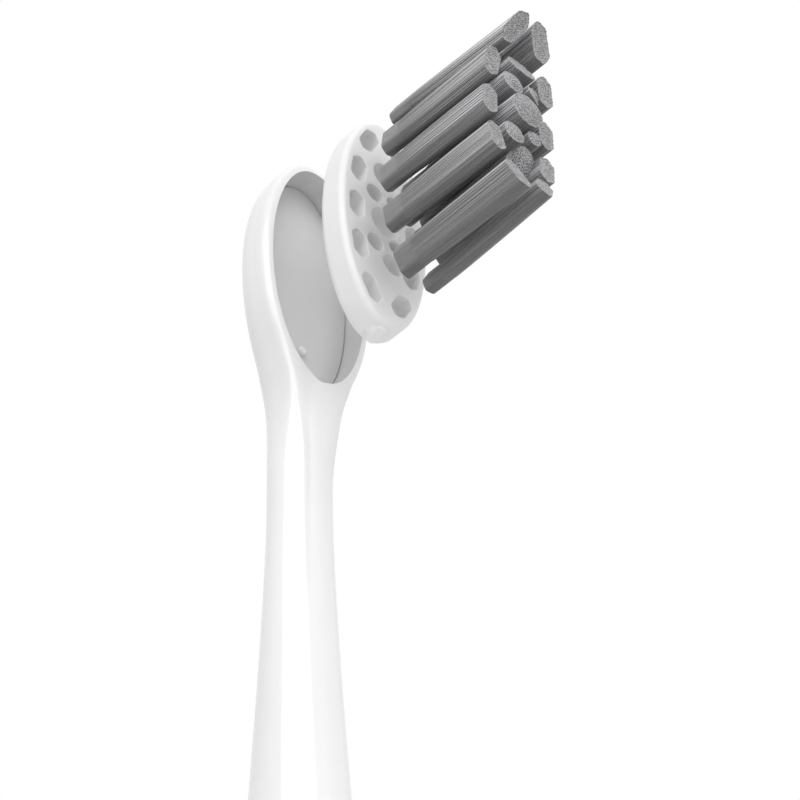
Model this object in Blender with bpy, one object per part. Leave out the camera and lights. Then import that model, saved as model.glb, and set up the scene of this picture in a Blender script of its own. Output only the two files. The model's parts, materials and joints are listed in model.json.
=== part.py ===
"""Electric toothbrush: a slim powered handle that drives a clip-on brush head.

The brush head is opened up for view. Its bristle carrier stands drawn out in front of the
recess that it seats in, and the tufts stand drawn out in front of the carrier.

Metres, +Z up. The origin is the centre of the flat base, the drive axis is Z, and the
bristles face -Y. In the brush head's own coordinates, u runs across (+X), v runs along the
neck (+Z) and n runs out of the recess (-Y), counted from the plane of its rim.
"""

import math

import bmesh
import bpy
from mathutils import Vector

MM = 0.001

# Clearances
TOUCH_GAP = 0.30 * MM
PRESS_GAP = 0.12 * MM
RUNNING_GAP = 0.09 * MM
TUFT_GAP = 0.08 * MM
CUT_OVERRUN = 2.0 * MM
MERGE_DISTANCE = 0.001 * MM

# Counts around and along
OVAL_STEPS = 44
FINE_STEPS = 36
HEAD_STEPS = 32
ROUND_STEPS = 24
SMALL_STEPS = 16
HOLE_STEPS = 12
SEAL_STEPS = 6

# Drive shaft and bearings
SHAFT_RADIUS = 1.9 * MM
SHAFT_FLAT_DEPTH = 0.45 * MM
SHAFT_REACH = 17.0 * MM
SHAFT_CHAMFER = 0.35 * MM
BEARING_WALL = 1.3 * MM
BEARING_LENGTH = 2.6 * MM
SEAT_WALL = 0.8 * MM

# Handle shell
BORE_RADIUS = 11.4 * MM
BASE_RADIUS = 12.7 * MM
GRIP_RADIUS = 13.5 * MM
GRIP_RISE = 46.0 * MM
SHOULDER_LENGTH = 36.0 * MM
NOSE_RADIUS = 5.7 * MM
NOSE_BORE = 3.9 * MM
NOSE_BORE_LENGTH = 7.0 * MM
NOSE_ROUND = 0.6 * MM
SHELL_ROUND = 0.4 * MM

# Bottom cap, its seal and screws
CAP_FLANGE = 2.2 * MM
CAP_CHAMFER = 0.7 * MM
CAP_PLUG = 7.0 * MM
POCKET_DEPTH = 5.4 * MM
POCKET_RADIUS = 6.9 * MM
SEAL_WIRE_RADIUS = 0.5 * MM
SEAL_HEIGHT = 3.4 * MM
SCREW_HEAD_RADIUS = 1.75 * MM
SCREW_HEAD_HEIGHT = 1.2 * MM
SCREW_SHANK_RADIUS = 1.0 * MM
SCREW_INSET = 0.4 * MM
SCREW_SOCKET_RADIUS = 0.8 * MM
SCREW_SOCKET_DEPTH = 0.6 * MM

# Charging coil on its bobbin
BOBBIN_HUB_RADIUS = 3.0 * MM
BOBBIN_BORE = 1.6 * MM
BOBBIN_FLANGE = 0.6 * MM
BOBBIN_HEIGHT = 4.6 * MM
COIL_WALL = 3.3 * MM
COIL_ROUND = 0.3 * MM

# Battery
BATTERY_RADIUS = 7.0 * MM
BATTERY_LENGTH = 50.0 * MM
BATTERY_ROUND = 0.5 * MM
BATTERY_CAP_RADIUS = 3.2 * MM
BATTERY_CAP_HEIGHT = 0.9 * MM
CONTACT_THICKNESS = 0.4 * MM
CONTACT_WIDTH = 6.0 * MM
CONTACT_LENGTH = 9.0 * MM
CONTACT_DIMPLE_RADIUS = 1.1 * MM
CONTACT_DIMPLE_HEIGHT = 0.35 * MM

# Chassis that holds the battery, the board and the motor
CHASSIS_FLOOR = 3.0 * MM
BULKHEAD = 4.5 * MM
CHASSIS_TOP_DISC = 4.0 * MM
MOTOR_BAY = 46.0 * MM

# Circuit board and what is on it
BOARD_THICKNESS = 1.0 * MM
BOARD_WIDTH = 14.0 * MM
BOARD_LENGTH = 64.0 * MM
BOARD_BELOW_BULKHEAD = 22.0 * MM
SWITCH_SIDE = 4.6 * MM
SWITCH_THICKNESS = 1.5 * MM
PLUNGER_RADIUS = 1.2 * MM
PLUNGER_LENGTH = 0.6 * MM
LED_WIDTH = 1.7 * MM
LED_HEIGHT = 1.1 * MM
LED_THICKNESS = 0.7 * MM

# Power button
BUTTON_ABOVE_BULKHEAD = 25.0 * MM
BUTTON_RADIUS = 4.2 * MM
BUTTON_PROUD = 0.25 * MM
BUTTON_TRAVEL = 0.5 * MM
BUTTON_SPARE = 0.15 * MM
BUTTON_FLANGE = 0.6 * MM
BUTTON_FLANGE_THICKNESS = 0.8 * MM
BUTTON_STEM_RADIUS = 1.5 * MM
GASKET_WALL = 0.5 * MM

# Light window under the button
LENS_RADIUS = 1.4 * MM
LENS_BELOW_BUTTON = 15.0 * MM
LENS_STEM_RADIUS = 0.9 * MM
LENS_HEAD = 1.2 * MM

# Motor
HUB_RADIUS = 3.3 * MM
HUB_LENGTH = 30.0 * MM
HUB_FLAT = 2.5 * MM
HUB_LIFT = 5.0 * MM
MAGNET_WIDTH = 3.0 * MM
MAGNET_THICKNESS = 1.5 * MM
MAGNET_LENGTH = 24.0 * MM
MAGNET_SPACING = 0.5 * MM
AIR_GAP = 0.25 * MM
STATOR_LENGTH = 24.0 * MM
STATOR_BACK = 1.3 * MM
POLE_REACH = 2.6 * MM
POLE_WIDTH = 2.6 * MM
SIDE_POLE_WIDTH = 1.8 * MM
WINDING_WIDTH = 2.2 * MM
WINDING_ROUND = 0.7 * MM

# Nose collar and shaft seal
COLLAR_LENGTH = 4.0 * MM
SEAL_LENGTH = 2.6 * MM
SEAL_PROUD = 0.5 * MM
SEAL_LIP_RADIUS = 2.6 * MM

# Brush head: neck
HEAD_GAP = 1.5 * MM
NECK_LENGTH = 71.5 * MM
NECK_BASE_RADIUS = 5.0 * MM
NECK_WAIST_RADIUS = 2.61 * MM
WAIST_BELOW_RECESS = 25.3 * MM
NECK_GROWTH_POWER = 1.38
BASE_RING_HEIGHT = 3.6 * MM
BASE_RING_WALL = 1.1 * MM
BASE_RING_ROUND = 0.3 * MM

# Brush head: bowl with its recess
RECESS_HALF_WIDTH = 5.0 * MM
RECESS_HALF_LENGTH = 11.93 * MM
RECESS_DEPTH = 2.34 * MM
BOWL_SIDE_WALL = 0.87 * MM
BOWL_TIP_WALL = 0.9 * MM
BOWL_CENTRE_DEPTH = 1.71 * MM
BOWL_HALF_DEPTH = 3.27 * MM
BOWL_SECTION_POWER = 2.5
BOWL_NECK_POWER = 6.4
AXIS_BEHIND_RIM = 2.44 * MM
FLARE_SIZE = 0.79 * MM
FLARE_BELOW_RECESS = 11.07 * MM
FLARE_SPREAD = 1.53 * MM
SECTION_BLEND_START = 22.0 * MM
SECTION_BLEND_LENGTH = 10.0 * MM
RIM_STEP = 0.4 * MM
TIP_STATION_SHARES = (0.10, 0.22, 0.34, 0.46, 0.57, 0.67, 0.76, 0.84, 0.90, 0.95, 0.985, 0.999)
NECK_STATIONS = 9
BLEND_STATIONS = 7
BOWL_STATIONS = 6
PIN_RADIUS = 0.5 * MM
PIN_HEIGHT = 0.7 * MM
PIN_BELOW_CENTRE = 7.2 * MM

# Brush head: socket that grips the shaft
SOCKET_WALL = 0.9 * MM
SOCKET_LENGTH = 14.0 * MM
SOCKET_INSET = 0.5 * MM
CLIP_THICKNESS = 0.8 * MM
CLIP_WALL = 0.7 * MM
CLIP_CLEARANCE = 0.12 * MM
CLIP_GAP_WIDTH = 2.0 * MM

# Bristle carrier
CARRIER_GAP = 0.24 * MM
CARRIER_THICKNESS = 2.5 * MM
CARRIER_DRAWN_OUT = 5.29 * MM
CARRIER_FRONT_ROUND = 0.5 * MM
CARRIER_BACK_CHAMFER = 0.2 * MM
KEY_RADIUS = 0.95 * MM
KEY_REACH = 0.35 * MM
KEY_GAP = 0.08 * MM

# Tufts
TUFT_DRAWN_OUT = 3.4 * MM
RING_TUFTS = 10
RING_INSET = 1.7 * MM
RING_HALF_LENGTH = 1.5 * MM
RING_HALF_WIDTH = 0.72 * MM
RING_POINT = 0.55 * MM
RING_CORNER = 0.14 * MM
RING_TIP = 15.2 * MM
RING_END_RISE = 1.65 * MM
RING_RISE_POWER = 3.0
SPREAD_SHARE = 0.16
STRAND_PITCH = 0.36 * MM
STRAND_RADIUS = 0.15 * MM
STRAND_SIDES = 3
STRAND_MARGIN = 0.02 * MM

INNER_RADIUS = 1.5 * MM
INNER_TIP = 16.3 * MM

# Inner tufts: name, place across and along as shares of the ring's oval, radius as a share of
# the largest, tip height as a share of the highest, slope of the cut along v, drop at the edge
# as a share of the tuft's own radius, sides
INNER_TUFT_SHARES = (
    ("tuft_centre_upper", 0.065, 0.546, 0.87, 0.963, -0.6, 0.0, 10),
    ("tuft_centre_middle", 0.016, -0.010, 1.00, 1.000, 0.0, 0.2, 10),
    ("tuft_centre_lower", 0.242, -0.445, 0.68, 0.896, 0.7, 0.2, 10),
    ("tuft_inner_left_upper", -0.343, 0.265, 0.57, 0.994, 0.0, 0.6, 8),
    ("tuft_inner_left_lower", -0.353, -0.305, 0.57, 0.982, 0.0, 0.6, 8),
    ("tuft_inner_right_upper", 0.359, 0.270, 0.52, 0.994, 0.0, 0.4, 8),
    ("tuft_inner_right_lower", 0.359, -0.225, 0.44, 0.982, 0.0, 0.4, 8),
)
RING_NAMES = (
    "tuft_right_3",
    "tuft_right_2",
    "tuft_right_1",
    "tuft_left_1",
    "tuft_left_2",
    "tuft_left_3",
    "tuft_left_4",
    "tuft_left_5",
    "tuft_right_5",
    "tuft_right_4",
)

# Heights stacked up from the base
CAP_TOP_Z = CAP_FLANGE + CAP_PLUG
SHELL_BASE_Z = CAP_FLANGE + TOUCH_GAP
CHASSIS_BASE_Z = CAP_TOP_Z + TOUCH_GAP
CHASSIS_FLOOR_Z = CHASSIS_BASE_Z + CHASSIS_FLOOR
SCREW_HOLE_TOP_Z = CHASSIS_FLOOR_Z - TOUCH_GAP
LOWER_CONTACT_Z = CHASSIS_FLOOR_Z + TOUCH_GAP
BATTERY_BASE_Z = LOWER_CONTACT_Z + CONTACT_THICKNESS + CONTACT_DIMPLE_HEIGHT + PRESS_GAP
BATTERY_TOP_Z = BATTERY_BASE_Z + BATTERY_LENGTH + BATTERY_CAP_HEIGHT
UPPER_CONTACT_Z = BATTERY_TOP_Z + PRESS_GAP + CONTACT_DIMPLE_HEIGHT
BULKHEAD_Z = UPPER_CONTACT_Z + CONTACT_THICKNESS + TOUCH_GAP
MOTOR_BAY_Z = BULKHEAD_Z + BULKHEAD
TOP_DISC_Z = MOTOR_BAY_Z + MOTOR_BAY
CHASSIS_TOP_Z = TOP_DISC_Z + CHASSIS_TOP_DISC
NOSE_Z = CHASSIS_TOP_Z + TOUCH_GAP + SHOULDER_LENGTH
HUB_Z = MOTOR_BAY_Z + HUB_LIFT
MAGNET_Z = HUB_Z + (HUB_LENGTH - MAGNET_LENGTH) / 2
STATOR_Z = HUB_Z + (HUB_LENGTH - STATOR_LENGTH) / 2
BUTTON_Z = MOTOR_BAY_Z + BUTTON_ABOVE_BULKHEAD
LENS_Z = BUTTON_Z - LENS_BELOW_BUTTON
BOARD_Z = MOTOR_BAY_Z - BOARD_BELOW_BULKHEAD
BOARD_TOP_Z = BOARD_Z + BOARD_LENGTH
HEAD_BASE_Z = NOSE_Z + HEAD_GAP
RECESS_Z = HEAD_BASE_Z + NECK_LENGTH
SHAFT_TOP_Z = NOSE_Z + SHAFT_REACH
SOCKET_Z = HEAD_BASE_Z + SOCKET_INSET
CLIP_Z = SOCKET_Z + SOCKET_LENGTH + PRESS_GAP

# Radii and depths worked out from the sizes above
SEAL_CENTRE_RADIUS = BORE_RADIUS - RUNNING_GAP - SEAL_WIRE_RADIUS
GROOVE_RADIUS = SEAL_CENTRE_RADIUS - SEAL_WIRE_RADIUS - RUNNING_GAP
SCREW_CIRCLE = (POCKET_RADIUS + GROOVE_RADIUS) / 2
CHASSIS_RADIUS = BORE_RADIUS - TOUCH_GAP
BEARING_RADIUS = SHAFT_RADIUS + RUNNING_GAP + BEARING_WALL
SEAT_RADIUS = BEARING_RADIUS + PRESS_GAP
BATTERY_Y = BORE_RADIUS - TOUCH_GAP - BATTERY_RADIUS
BATTERY_BAY_HALF = BATTERY_RADIUS + TOUCH_GAP
BEHIND_BOARD = max(BATTERY_RADIUS - BATTERY_Y, HUB_RADIUS, SEAT_RADIUS + SEAT_WALL)
FLAT_Y = -(BEHIND_BOARD + TOUCH_GAP)
BOARD_BACK_Y = FLAT_Y - TOUCH_GAP
BOARD_FRONT_Y = BOARD_BACK_Y - BOARD_THICKNESS
SWITCH_BACK_Y = BOARD_FRONT_Y - PRESS_GAP
SWITCH_FRONT_Y = SWITCH_BACK_Y - SWITCH_THICKNESS
PLUNGER_FRONT_Y = SWITCH_FRONT_Y - PLUNGER_LENGTH
MAGNET_BACK_Y = HUB_FLAT + PRESS_GAP
MAGNET_FACE_Y = MAGNET_BACK_Y + MAGNET_THICKNESS
MAGNET_EDGE_X = MAGNET_SPACING / 2 + MAGNET_WIDTH
POLE_FACE_Y = math.hypot(MAGNET_FACE_Y, MAGNET_EDGE_X) + AIR_GAP
POLE_ROOT_Y = POLE_FACE_Y + POLE_REACH
STATOR_BACK_Y = POLE_ROOT_Y + STATOR_BACK
WINDING_INNER_X = POLE_WIDTH / 2 + PRESS_GAP
WINDING_OUTER_X = WINDING_INNER_X + WINDING_WIDTH
SIDE_POLE_INNER_X = WINDING_OUTER_X + PRESS_GAP
STATOR_HALF_WIDTH = SIDE_POLE_INNER_X + SIDE_POLE_WIDTH
MOTOR_BAY_HALF = STATOR_HALF_WIDTH + TOUCH_GAP
RECESS_RIM_Y = -AXIS_BEHIND_RIM
SOCKET_BORE = SHAFT_RADIUS + RUNNING_GAP
SOCKET_RADIUS = SOCKET_BORE + SOCKET_WALL
NECK_BORE = SOCKET_RADIUS + PRESS_GAP
NECK_BORE_DEPTH = SOCKET_INSET + SOCKET_LENGTH + PRESS_GAP + CLIP_THICKNESS + TOUCH_GAP
SPIGOT_RADIUS = NECK_BASE_RADIUS - BASE_RING_WALL
CARRIER_HALF_WIDTH = RECESS_HALF_WIDTH - CARRIER_GAP
CARRIER_HALF_LENGTH = RECESS_HALF_LENGTH - CARRIER_GAP
CARRIER_FRONT_N = CARRIER_DRAWN_OUT + CARRIER_THICKNESS
TUFT_ROOT_N = CARRIER_FRONT_N + TUFT_DRAWN_OUT
ROOT_LENGTH = CARRIER_THICKNESS

# Turns the brush head's u, v, n into X, Z and -Y
FACE_TURN = (math.pi / 2, 0, 0)


def clear_scene():
    for obj in list(bpy.data.objects):
        bpy.data.objects.remove(obj, do_unlink=True)


def material(name, colour, roughness, metallic=0.0):
    found = bpy.data.materials.get(name)
    if found:
        return found
    made = bpy.data.materials.new(name)
    made.use_nodes = True
    shader = made.node_tree.nodes["Principled BSDF"]
    shader.inputs["Base Color"].default_value = (*colour, 1)
    shader.inputs["Roughness"].default_value = roughness
    shader.inputs["Metallic"].default_value = metallic
    made.diffuse_color = (*colour, 1)
    return made


def gloss_white():
    return material("gloss_white", (0.88, 0.88, 0.87), 0.18)


def carrier_white():
    return material("carrier_white", (0.80, 0.80, 0.79), 0.35)


def bristle_grey():
    return material("bristle_grey", (0.18, 0.18, 0.185), 0.5)


def ring_grey():
    return material("ring_grey", (0.55, 0.56, 0.57), 0.4)


def frame_plastic():
    return material("frame_plastic", (0.12, 0.12, 0.13), 0.5)


def soft_grey():
    return material("soft_grey", (0.35, 0.36, 0.37), 0.7)


def seal_rubber():
    return material("seal_rubber", (0.06, 0.06, 0.065), 0.8)


def steel():
    return material("steel", (0.62, 0.62, 0.63), 0.25, 1.0)


def spring_steel():
    return material("spring_steel", (0.5, 0.5, 0.52), 0.3, 1.0)


def nickel():
    return material("nickel", (0.7, 0.69, 0.66), 0.3, 1.0)


def magnet_metal():
    return material("magnet_metal", (0.45, 0.45, 0.47), 0.25, 1.0)


def core_iron():
    return material("core_iron", (0.25, 0.25, 0.27), 0.45, 1.0)


def copper_wire():
    return material("copper_wire", (0.72, 0.32, 0.14), 0.35, 1.0)


def bronze():
    return material("bronze", (0.55, 0.38, 0.2), 0.4, 1.0)


def battery_wrap():
    return material("battery_wrap", (0.10, 0.25, 0.45), 0.4)


def board_green():
    return material("board_green", (0.03, 0.22, 0.10), 0.45)


def lens_clear():
    return material("lens_clear", (0.85, 0.88, 0.9), 0.1)


def led_body():
    return material("led_body", (0.9, 0.88, 0.75), 0.3)


def place(obj, origin, parent):
    obj.location = origin
    if parent is not None:
        obj.parent = parent
        obj.location = Vector(origin) - parent.matrix_world.translation


def finish(name, bm, origin, parent, slot, turn=(0, 0, 0)):
    """An object from a bmesh drawn about its own origin, with its faces pointing out."""
    bmesh.ops.recalc_face_normals(bm, faces=bm.faces)
    mesh = bpy.data.meshes.new(name)
    bm.to_mesh(mesh)
    bm.free()
    mesh.shade_smooth()
    mesh.set_sharp_from_angle(angle=math.radians(32))
    obj = bpy.data.objects.new(name, mesh)
    bpy.context.scene.collection.objects.link(obj)
    place(obj, origin, parent)
    obj.rotation_euler = turn
    if slot is not None:
        mesh.materials.append(slot)
    return obj


def joint_frame(name, origin, parent=None):
    """An empty on a joint's axis, which carries the pieces that move with it."""
    empty = bpy.data.objects.new(name, None)
    bpy.context.scene.collection.objects.link(empty)
    empty.empty_display_size = GRIP_RADIUS
    place(empty, origin, parent)
    bpy.context.view_layer.update()
    return empty


def helper(obj):
    obj.hide_render = True
    obj.display_type = "WIRE"
    return obj


def boolean(target, other, operation):
    helper(other)
    modifier = target.modifiers.new(operation.lower(), "BOOLEAN")
    modifier.operation = operation
    modifier.solver = "EXACT"
    modifier.object = other
    return modifier


def cut(target, *cutters):
    for cutter in cutters:
        boolean(target, cutter, "DIFFERENCE")


def join(target, *others):
    for other in others:
        boolean(target, other, "UNION")


def turned(profile, steps):
    """A bmesh turned about Z from radius and height points, closed on the axis or on itself."""
    bm = bmesh.new()
    on_axis = profile[0][0] == 0
    points = [bm.verts.new((radius, 0, height)) for radius, height in profile]
    edges = [bm.edges.new(pair) for pair in zip(points, points[1:])]
    if not on_axis:
        edges.append(bm.edges.new((points[-1], points[0])))
    bmesh.ops.spin(
        bm,
        geom=points + edges,
        cent=(0, 0, 0),
        axis=(0, 0, 1),
        angle=math.tau,
        steps=steps,
        use_merge=True,
    )
    bmesh.ops.remove_doubles(bm, verts=bm.verts, dist=MERGE_DISTANCE)
    return bm


def turned_piece(name, profile, origin, parent, slot, steps=ROUND_STEPS, turn=(0, 0, 0)):
    return finish(name, turned(profile, steps), origin, parent, slot, turn)


def rod(name, radius, low, high, origin, parent=None, slot=None, steps=SMALL_STEPS, turn=(0, 0, 0)):
    profile = ((0, low), (radius, low), (radius, high), (0, high))
    return turned_piece(name, profile, origin, parent, slot, steps, turn)


def ring_profile(inner, outer, low, high):
    return ((inner, low), (outer, low), (outer, high), (inner, high))


def block(name, low, high, origin=(0, 0, 0), parent=None, slot=None):
    """A box between two corners, drawn about its origin."""
    bm = bmesh.new()
    bmesh.ops.create_cube(bm, size=1)
    size = [b - a for a, b in zip(low, high)]
    middle = [(a + b) / 2 - o for a, b, o in zip(low, high, origin)]
    bmesh.ops.scale(bm, vec=size, verts=bm.verts)
    bmesh.ops.translate(bm, vec=middle, verts=bm.verts)
    return finish(name, bm, origin, parent, slot)


def wall_into(bm, lower, upper):
    """Adds the faces between two closed rings of vertices, and returns the upper ring's edges."""
    edges = []
    for i in range(len(lower)):
        j = (i + 1) % len(lower)
        bm.faces.new((lower[i], lower[j], upper[j], upper[i]))
        edges.append(bm.edges.get((upper[i], upper[j])))
    return edges


def loft_into(bm, rings):
    """Joins closed rings of points in order and caps both ends."""
    made = [[bm.verts.new(point) for point in ring] for ring in rings]
    bm.faces.new(list(reversed(made[0])))
    bm.faces.new(made[-1])
    for lower, upper in zip(made, made[1:]):
        wall_into(bm, lower, upper)


def prism_into(bm, outline, low, high):
    loft_into(bm, [[(x, y, z) for x, y in outline] for z in (low, high)])


def smooth_step(share):
    share = min(max(share, 0), 1)
    return share * share * (3 - 2 * share)


def signed_power(value, power):
    return math.copysign(abs(value) ** power, value)


# Handle


def grip_radius(z):
    """Outer radius of the handle shell at height z."""
    low = BASE_RADIUS + (GRIP_RADIUS - BASE_RADIUS) * smooth_step((z - SHELL_BASE_Z) / GRIP_RISE)
    shoulder = smooth_step((z - NOSE_Z + SHOULDER_LENGTH) / SHOULDER_LENGTH)
    return low + (NOSE_RADIUS - low) * shoulder


def handle_shell():
    rise_stations = 4
    shoulder_stations = 9
    shoulder_z = NOSE_Z - SHOULDER_LENGTH
    heights = [SHELL_BASE_Z + SHELL_ROUND]
    heights += [SHELL_BASE_Z + GRIP_RISE * (i + 1) / rise_stations for i in range(rise_stations)]
    heights += [shoulder_z + SHOULDER_LENGTH * i / shoulder_stations for i in range(shoulder_stations)]
    heights.append(NOSE_Z - NOSE_ROUND)
    outside = [(BASE_RADIUS - SHELL_ROUND, SHELL_BASE_Z)]
    outside += [(grip_radius(z), z) for z in heights]
    outside.append((NOSE_RADIUS - NOSE_ROUND, NOSE_Z))
    nose_bore_z = NOSE_Z - NOSE_BORE_LENGTH
    inside = [(NOSE_BORE, NOSE_Z), (NOSE_BORE, nose_bore_z)]
    inner_stations = 6
    for i in range(1, inner_stations + 1):
        share = i / inner_stations
        z = nose_bore_z + (shoulder_z - nose_bore_z) * share
        inside.append((NOSE_BORE + (BORE_RADIUS - NOSE_BORE) * smooth_step(share), z))
    inside.append((BORE_RADIUS, SHELL_BASE_Z))
    shell = turned_piece("handle_shell", outside + inside, (0, 0, 0), None, gloss_white(), FINE_STEPS)
    aperture = BUTTON_RADIUS + RUNNING_GAP + GASKET_WALL + PRESS_GAP
    for name, radius, z in (
        ("button_aperture", aperture, BUTTON_Z),
        ("lens_aperture", LENS_RADIUS + PRESS_GAP, LENS_Z),
    ):
        cut(shell, rod(name, radius, 0, GRIP_RADIUS + CUT_OVERRUN, (0, 0, z), turn=FACE_TURN))
    return shell


def screw_places():
    return (("left", -SCREW_CIRCLE), ("right", SCREW_CIRCLE))


def bottom_cap():
    plug = BORE_RADIUS - PRESS_GAP
    low = CAP_FLANGE + SEAL_HEIGHT - SEAL_WIRE_RADIUS - PRESS_GAP
    high = CAP_FLANGE + SEAL_HEIGHT + SEAL_WIRE_RADIUS + PRESS_GAP
    pocket_z = CAP_TOP_Z - POCKET_DEPTH
    profile = (
        (0, 0),
        (BASE_RADIUS - CAP_CHAMFER, 0),
        (BASE_RADIUS, CAP_CHAMFER),
        (BASE_RADIUS, CAP_FLANGE),
        (plug, CAP_FLANGE),
        (plug, low),
        (GROOVE_RADIUS, low),
        (GROOVE_RADIUS, high),
        (plug, high),
        (plug, CAP_TOP_Z),
        (POCKET_RADIUS, CAP_TOP_Z),
        (POCKET_RADIUS, pocket_z),
        (0, pocket_z),
    )
    cap = turned_piece("bottom_cap", profile, (0, 0, 0), None, gloss_white(), FINE_STEPS)
    head_top = SCREW_INSET + SCREW_HEAD_HEIGHT + PRESS_GAP
    stepped = (
        (0, -CUT_OVERRUN),
        (SCREW_HEAD_RADIUS + PRESS_GAP, -CUT_OVERRUN),
        (SCREW_HEAD_RADIUS + PRESS_GAP, head_top),
        (SCREW_SHANK_RADIUS + PRESS_GAP, head_top),
        (SCREW_SHANK_RADIUS + PRESS_GAP, CAP_TOP_Z + CUT_OVERRUN),
        (0, CAP_TOP_Z + CUT_OVERRUN),
    )
    for side, x in screw_places():
        cut(cap, turned_piece("cap_hole_" + side, stepped, (x, 0, 0), None, None, HOLE_STEPS))


def cap_screws():
    shank_z = SCREW_INSET + SCREW_HEAD_HEIGHT
    end_z = SCREW_HOLE_TOP_Z - TOUCH_GAP
    for side, x in screw_places():
        profile = (
            (0, SCREW_INSET + SCREW_SOCKET_DEPTH),
            (SCREW_SOCKET_RADIUS, SCREW_INSET + SCREW_SOCKET_DEPTH),
            (SCREW_SOCKET_RADIUS, SCREW_INSET),
            (SCREW_HEAD_RADIUS, SCREW_INSET),
            (SCREW_HEAD_RADIUS, shank_z),
            (SCREW_SHANK_RADIUS, shank_z),
            (SCREW_SHANK_RADIUS, end_z),
            (0, end_z),
        )
        turned_piece("cap_screw_" + side, profile, (x, 0, 0), None, steel(), HOLE_STEPS)


def cap_seal():
    """Round rubber ring in the cap's groove, squeezed just short of the shell."""
    profile = []
    for i in range(SEAL_STEPS):
        angle = math.tau * i / SEAL_STEPS
        radius = SEAL_CENTRE_RADIUS + SEAL_WIRE_RADIUS * math.cos(angle)
        profile.append((radius, SEAL_WIRE_RADIUS * math.sin(angle)))
    seal_place = (0, 0, CAP_FLANGE + SEAL_HEIGHT)
    turned_piece("cap_seal_ring", profile, seal_place, None, seal_rubber(), FINE_STEPS)


def charging_coil():
    low = CAP_TOP_Z - POCKET_DEPTH + PRESS_GAP
    high = low + BOBBIN_HEIGHT
    flange = POCKET_RADIUS - TOUCH_GAP
    profile = (
        (BOBBIN_BORE, low),
        (flange, low),
        (flange, low + BOBBIN_FLANGE),
        (BOBBIN_HUB_RADIUS, low + BOBBIN_FLANGE),
        (BOBBIN_HUB_RADIUS, high - BOBBIN_FLANGE),
        (flange, high - BOBBIN_FLANGE),
        (flange, high),
        (BOBBIN_BORE, high),
    )
    turned_piece("coil_bobbin", profile, (0, 0, 0), None, frame_plastic())
    inner = BOBBIN_HUB_RADIUS + PRESS_GAP
    outer = min(inner + COIL_WALL, flange)
    base = low + BOBBIN_FLANGE + PRESS_GAP
    top = high - BOBBIN_FLANGE - PRESS_GAP
    winding = (
        (inner, base),
        (outer - COIL_ROUND, base),
        (outer, base + COIL_ROUND),
        (outer, top - COIL_ROUND),
        (outer - COIL_ROUND, top),
        (inner, top),
    )
    turned_piece("charging_coil", winding, (0, 0, 0), None, copper_wire())


def chassis():
    frame = rod("chassis", CHASSIS_RADIUS, CHASSIS_BASE_Z, CHASSIS_TOP_Z, (0, 0, 0),
                slot=frame_plastic(), steps=ROUND_STEPS)
    reach = CHASSIS_RADIUS + CUT_OVERRUN
    battery_bay = block("battery_bay", (-BATTERY_BAY_HALF, -reach, CHASSIS_FLOOR_Z),
                        (BATTERY_BAY_HALF, reach, BULKHEAD_Z))
    motor_bay = block("motor_bay", (-MOTOR_BAY_HALF, -reach, MOTOR_BAY_Z),
                      (MOTOR_BAY_HALF, reach, TOP_DISC_Z))
    board_flat = block("board_flat", (-reach, -reach, BOARD_Z - TOUCH_GAP),
                       (reach, FLAT_Y, BOARD_TOP_Z + TOUCH_GAP))
    rear_seat = rod("rear_seat", SEAT_RADIUS, MOTOR_BAY_Z - BEARING_LENGTH - PRESS_GAP,
                    MOTOR_BAY_Z + CUT_OVERRUN, (0, 0, 0))
    front_seat = rod("front_seat", SEAT_RADIUS, CHASSIS_TOP_Z - BEARING_LENGTH - PRESS_GAP,
                     CHASSIS_TOP_Z + CUT_OVERRUN, (0, 0, 0))
    shaft_way = rod("shaft_way", SHAFT_RADIUS + TOUCH_GAP, TOP_DISC_Z - CUT_OVERRUN,
                    CHASSIS_TOP_Z + CUT_OVERRUN, (0, 0, 0))
    cut(frame, battery_bay, motor_bay, board_flat, rear_seat, front_seat, shaft_way)
    for side, x in screw_places():
        cut(frame, rod("chassis_hole_" + side, SCREW_SHANK_RADIUS + PRESS_GAP,
                       CHASSIS_BASE_Z - CUT_OVERRUN, SCREW_HOLE_TOP_Z, (x, 0, 0), steps=HOLE_STEPS))


def bearings():
    """Two plain bushes that the shaft turns in."""
    profile = ring_profile(SHAFT_RADIUS + RUNNING_GAP, BEARING_RADIUS, 0, BEARING_LENGTH)
    for name, top in (("rear_bearing", MOTOR_BAY_Z), ("front_bearing", CHASSIS_TOP_Z)):
        turned_piece(name, profile, (0, 0, top - BEARING_LENGTH), None, bronze(), ROUND_STEPS)


def battery():
    top = BATTERY_BASE_Z + BATTERY_LENGTH
    profile = (
        (0, BATTERY_BASE_Z),
        (BATTERY_RADIUS - BATTERY_ROUND, BATTERY_BASE_Z),
        (BATTERY_RADIUS, BATTERY_BASE_Z + BATTERY_ROUND),
        (BATTERY_RADIUS, top - BATTERY_ROUND),
        (BATTERY_RADIUS - BATTERY_ROUND, top),
        (BATTERY_CAP_RADIUS, top),
        (BATTERY_CAP_RADIUS, BATTERY_TOP_Z),
        (0, BATTERY_TOP_Z),
    )
    turned_piece("battery_cell", profile, (0, BATTERY_Y, 0), None, battery_wrap())


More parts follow.
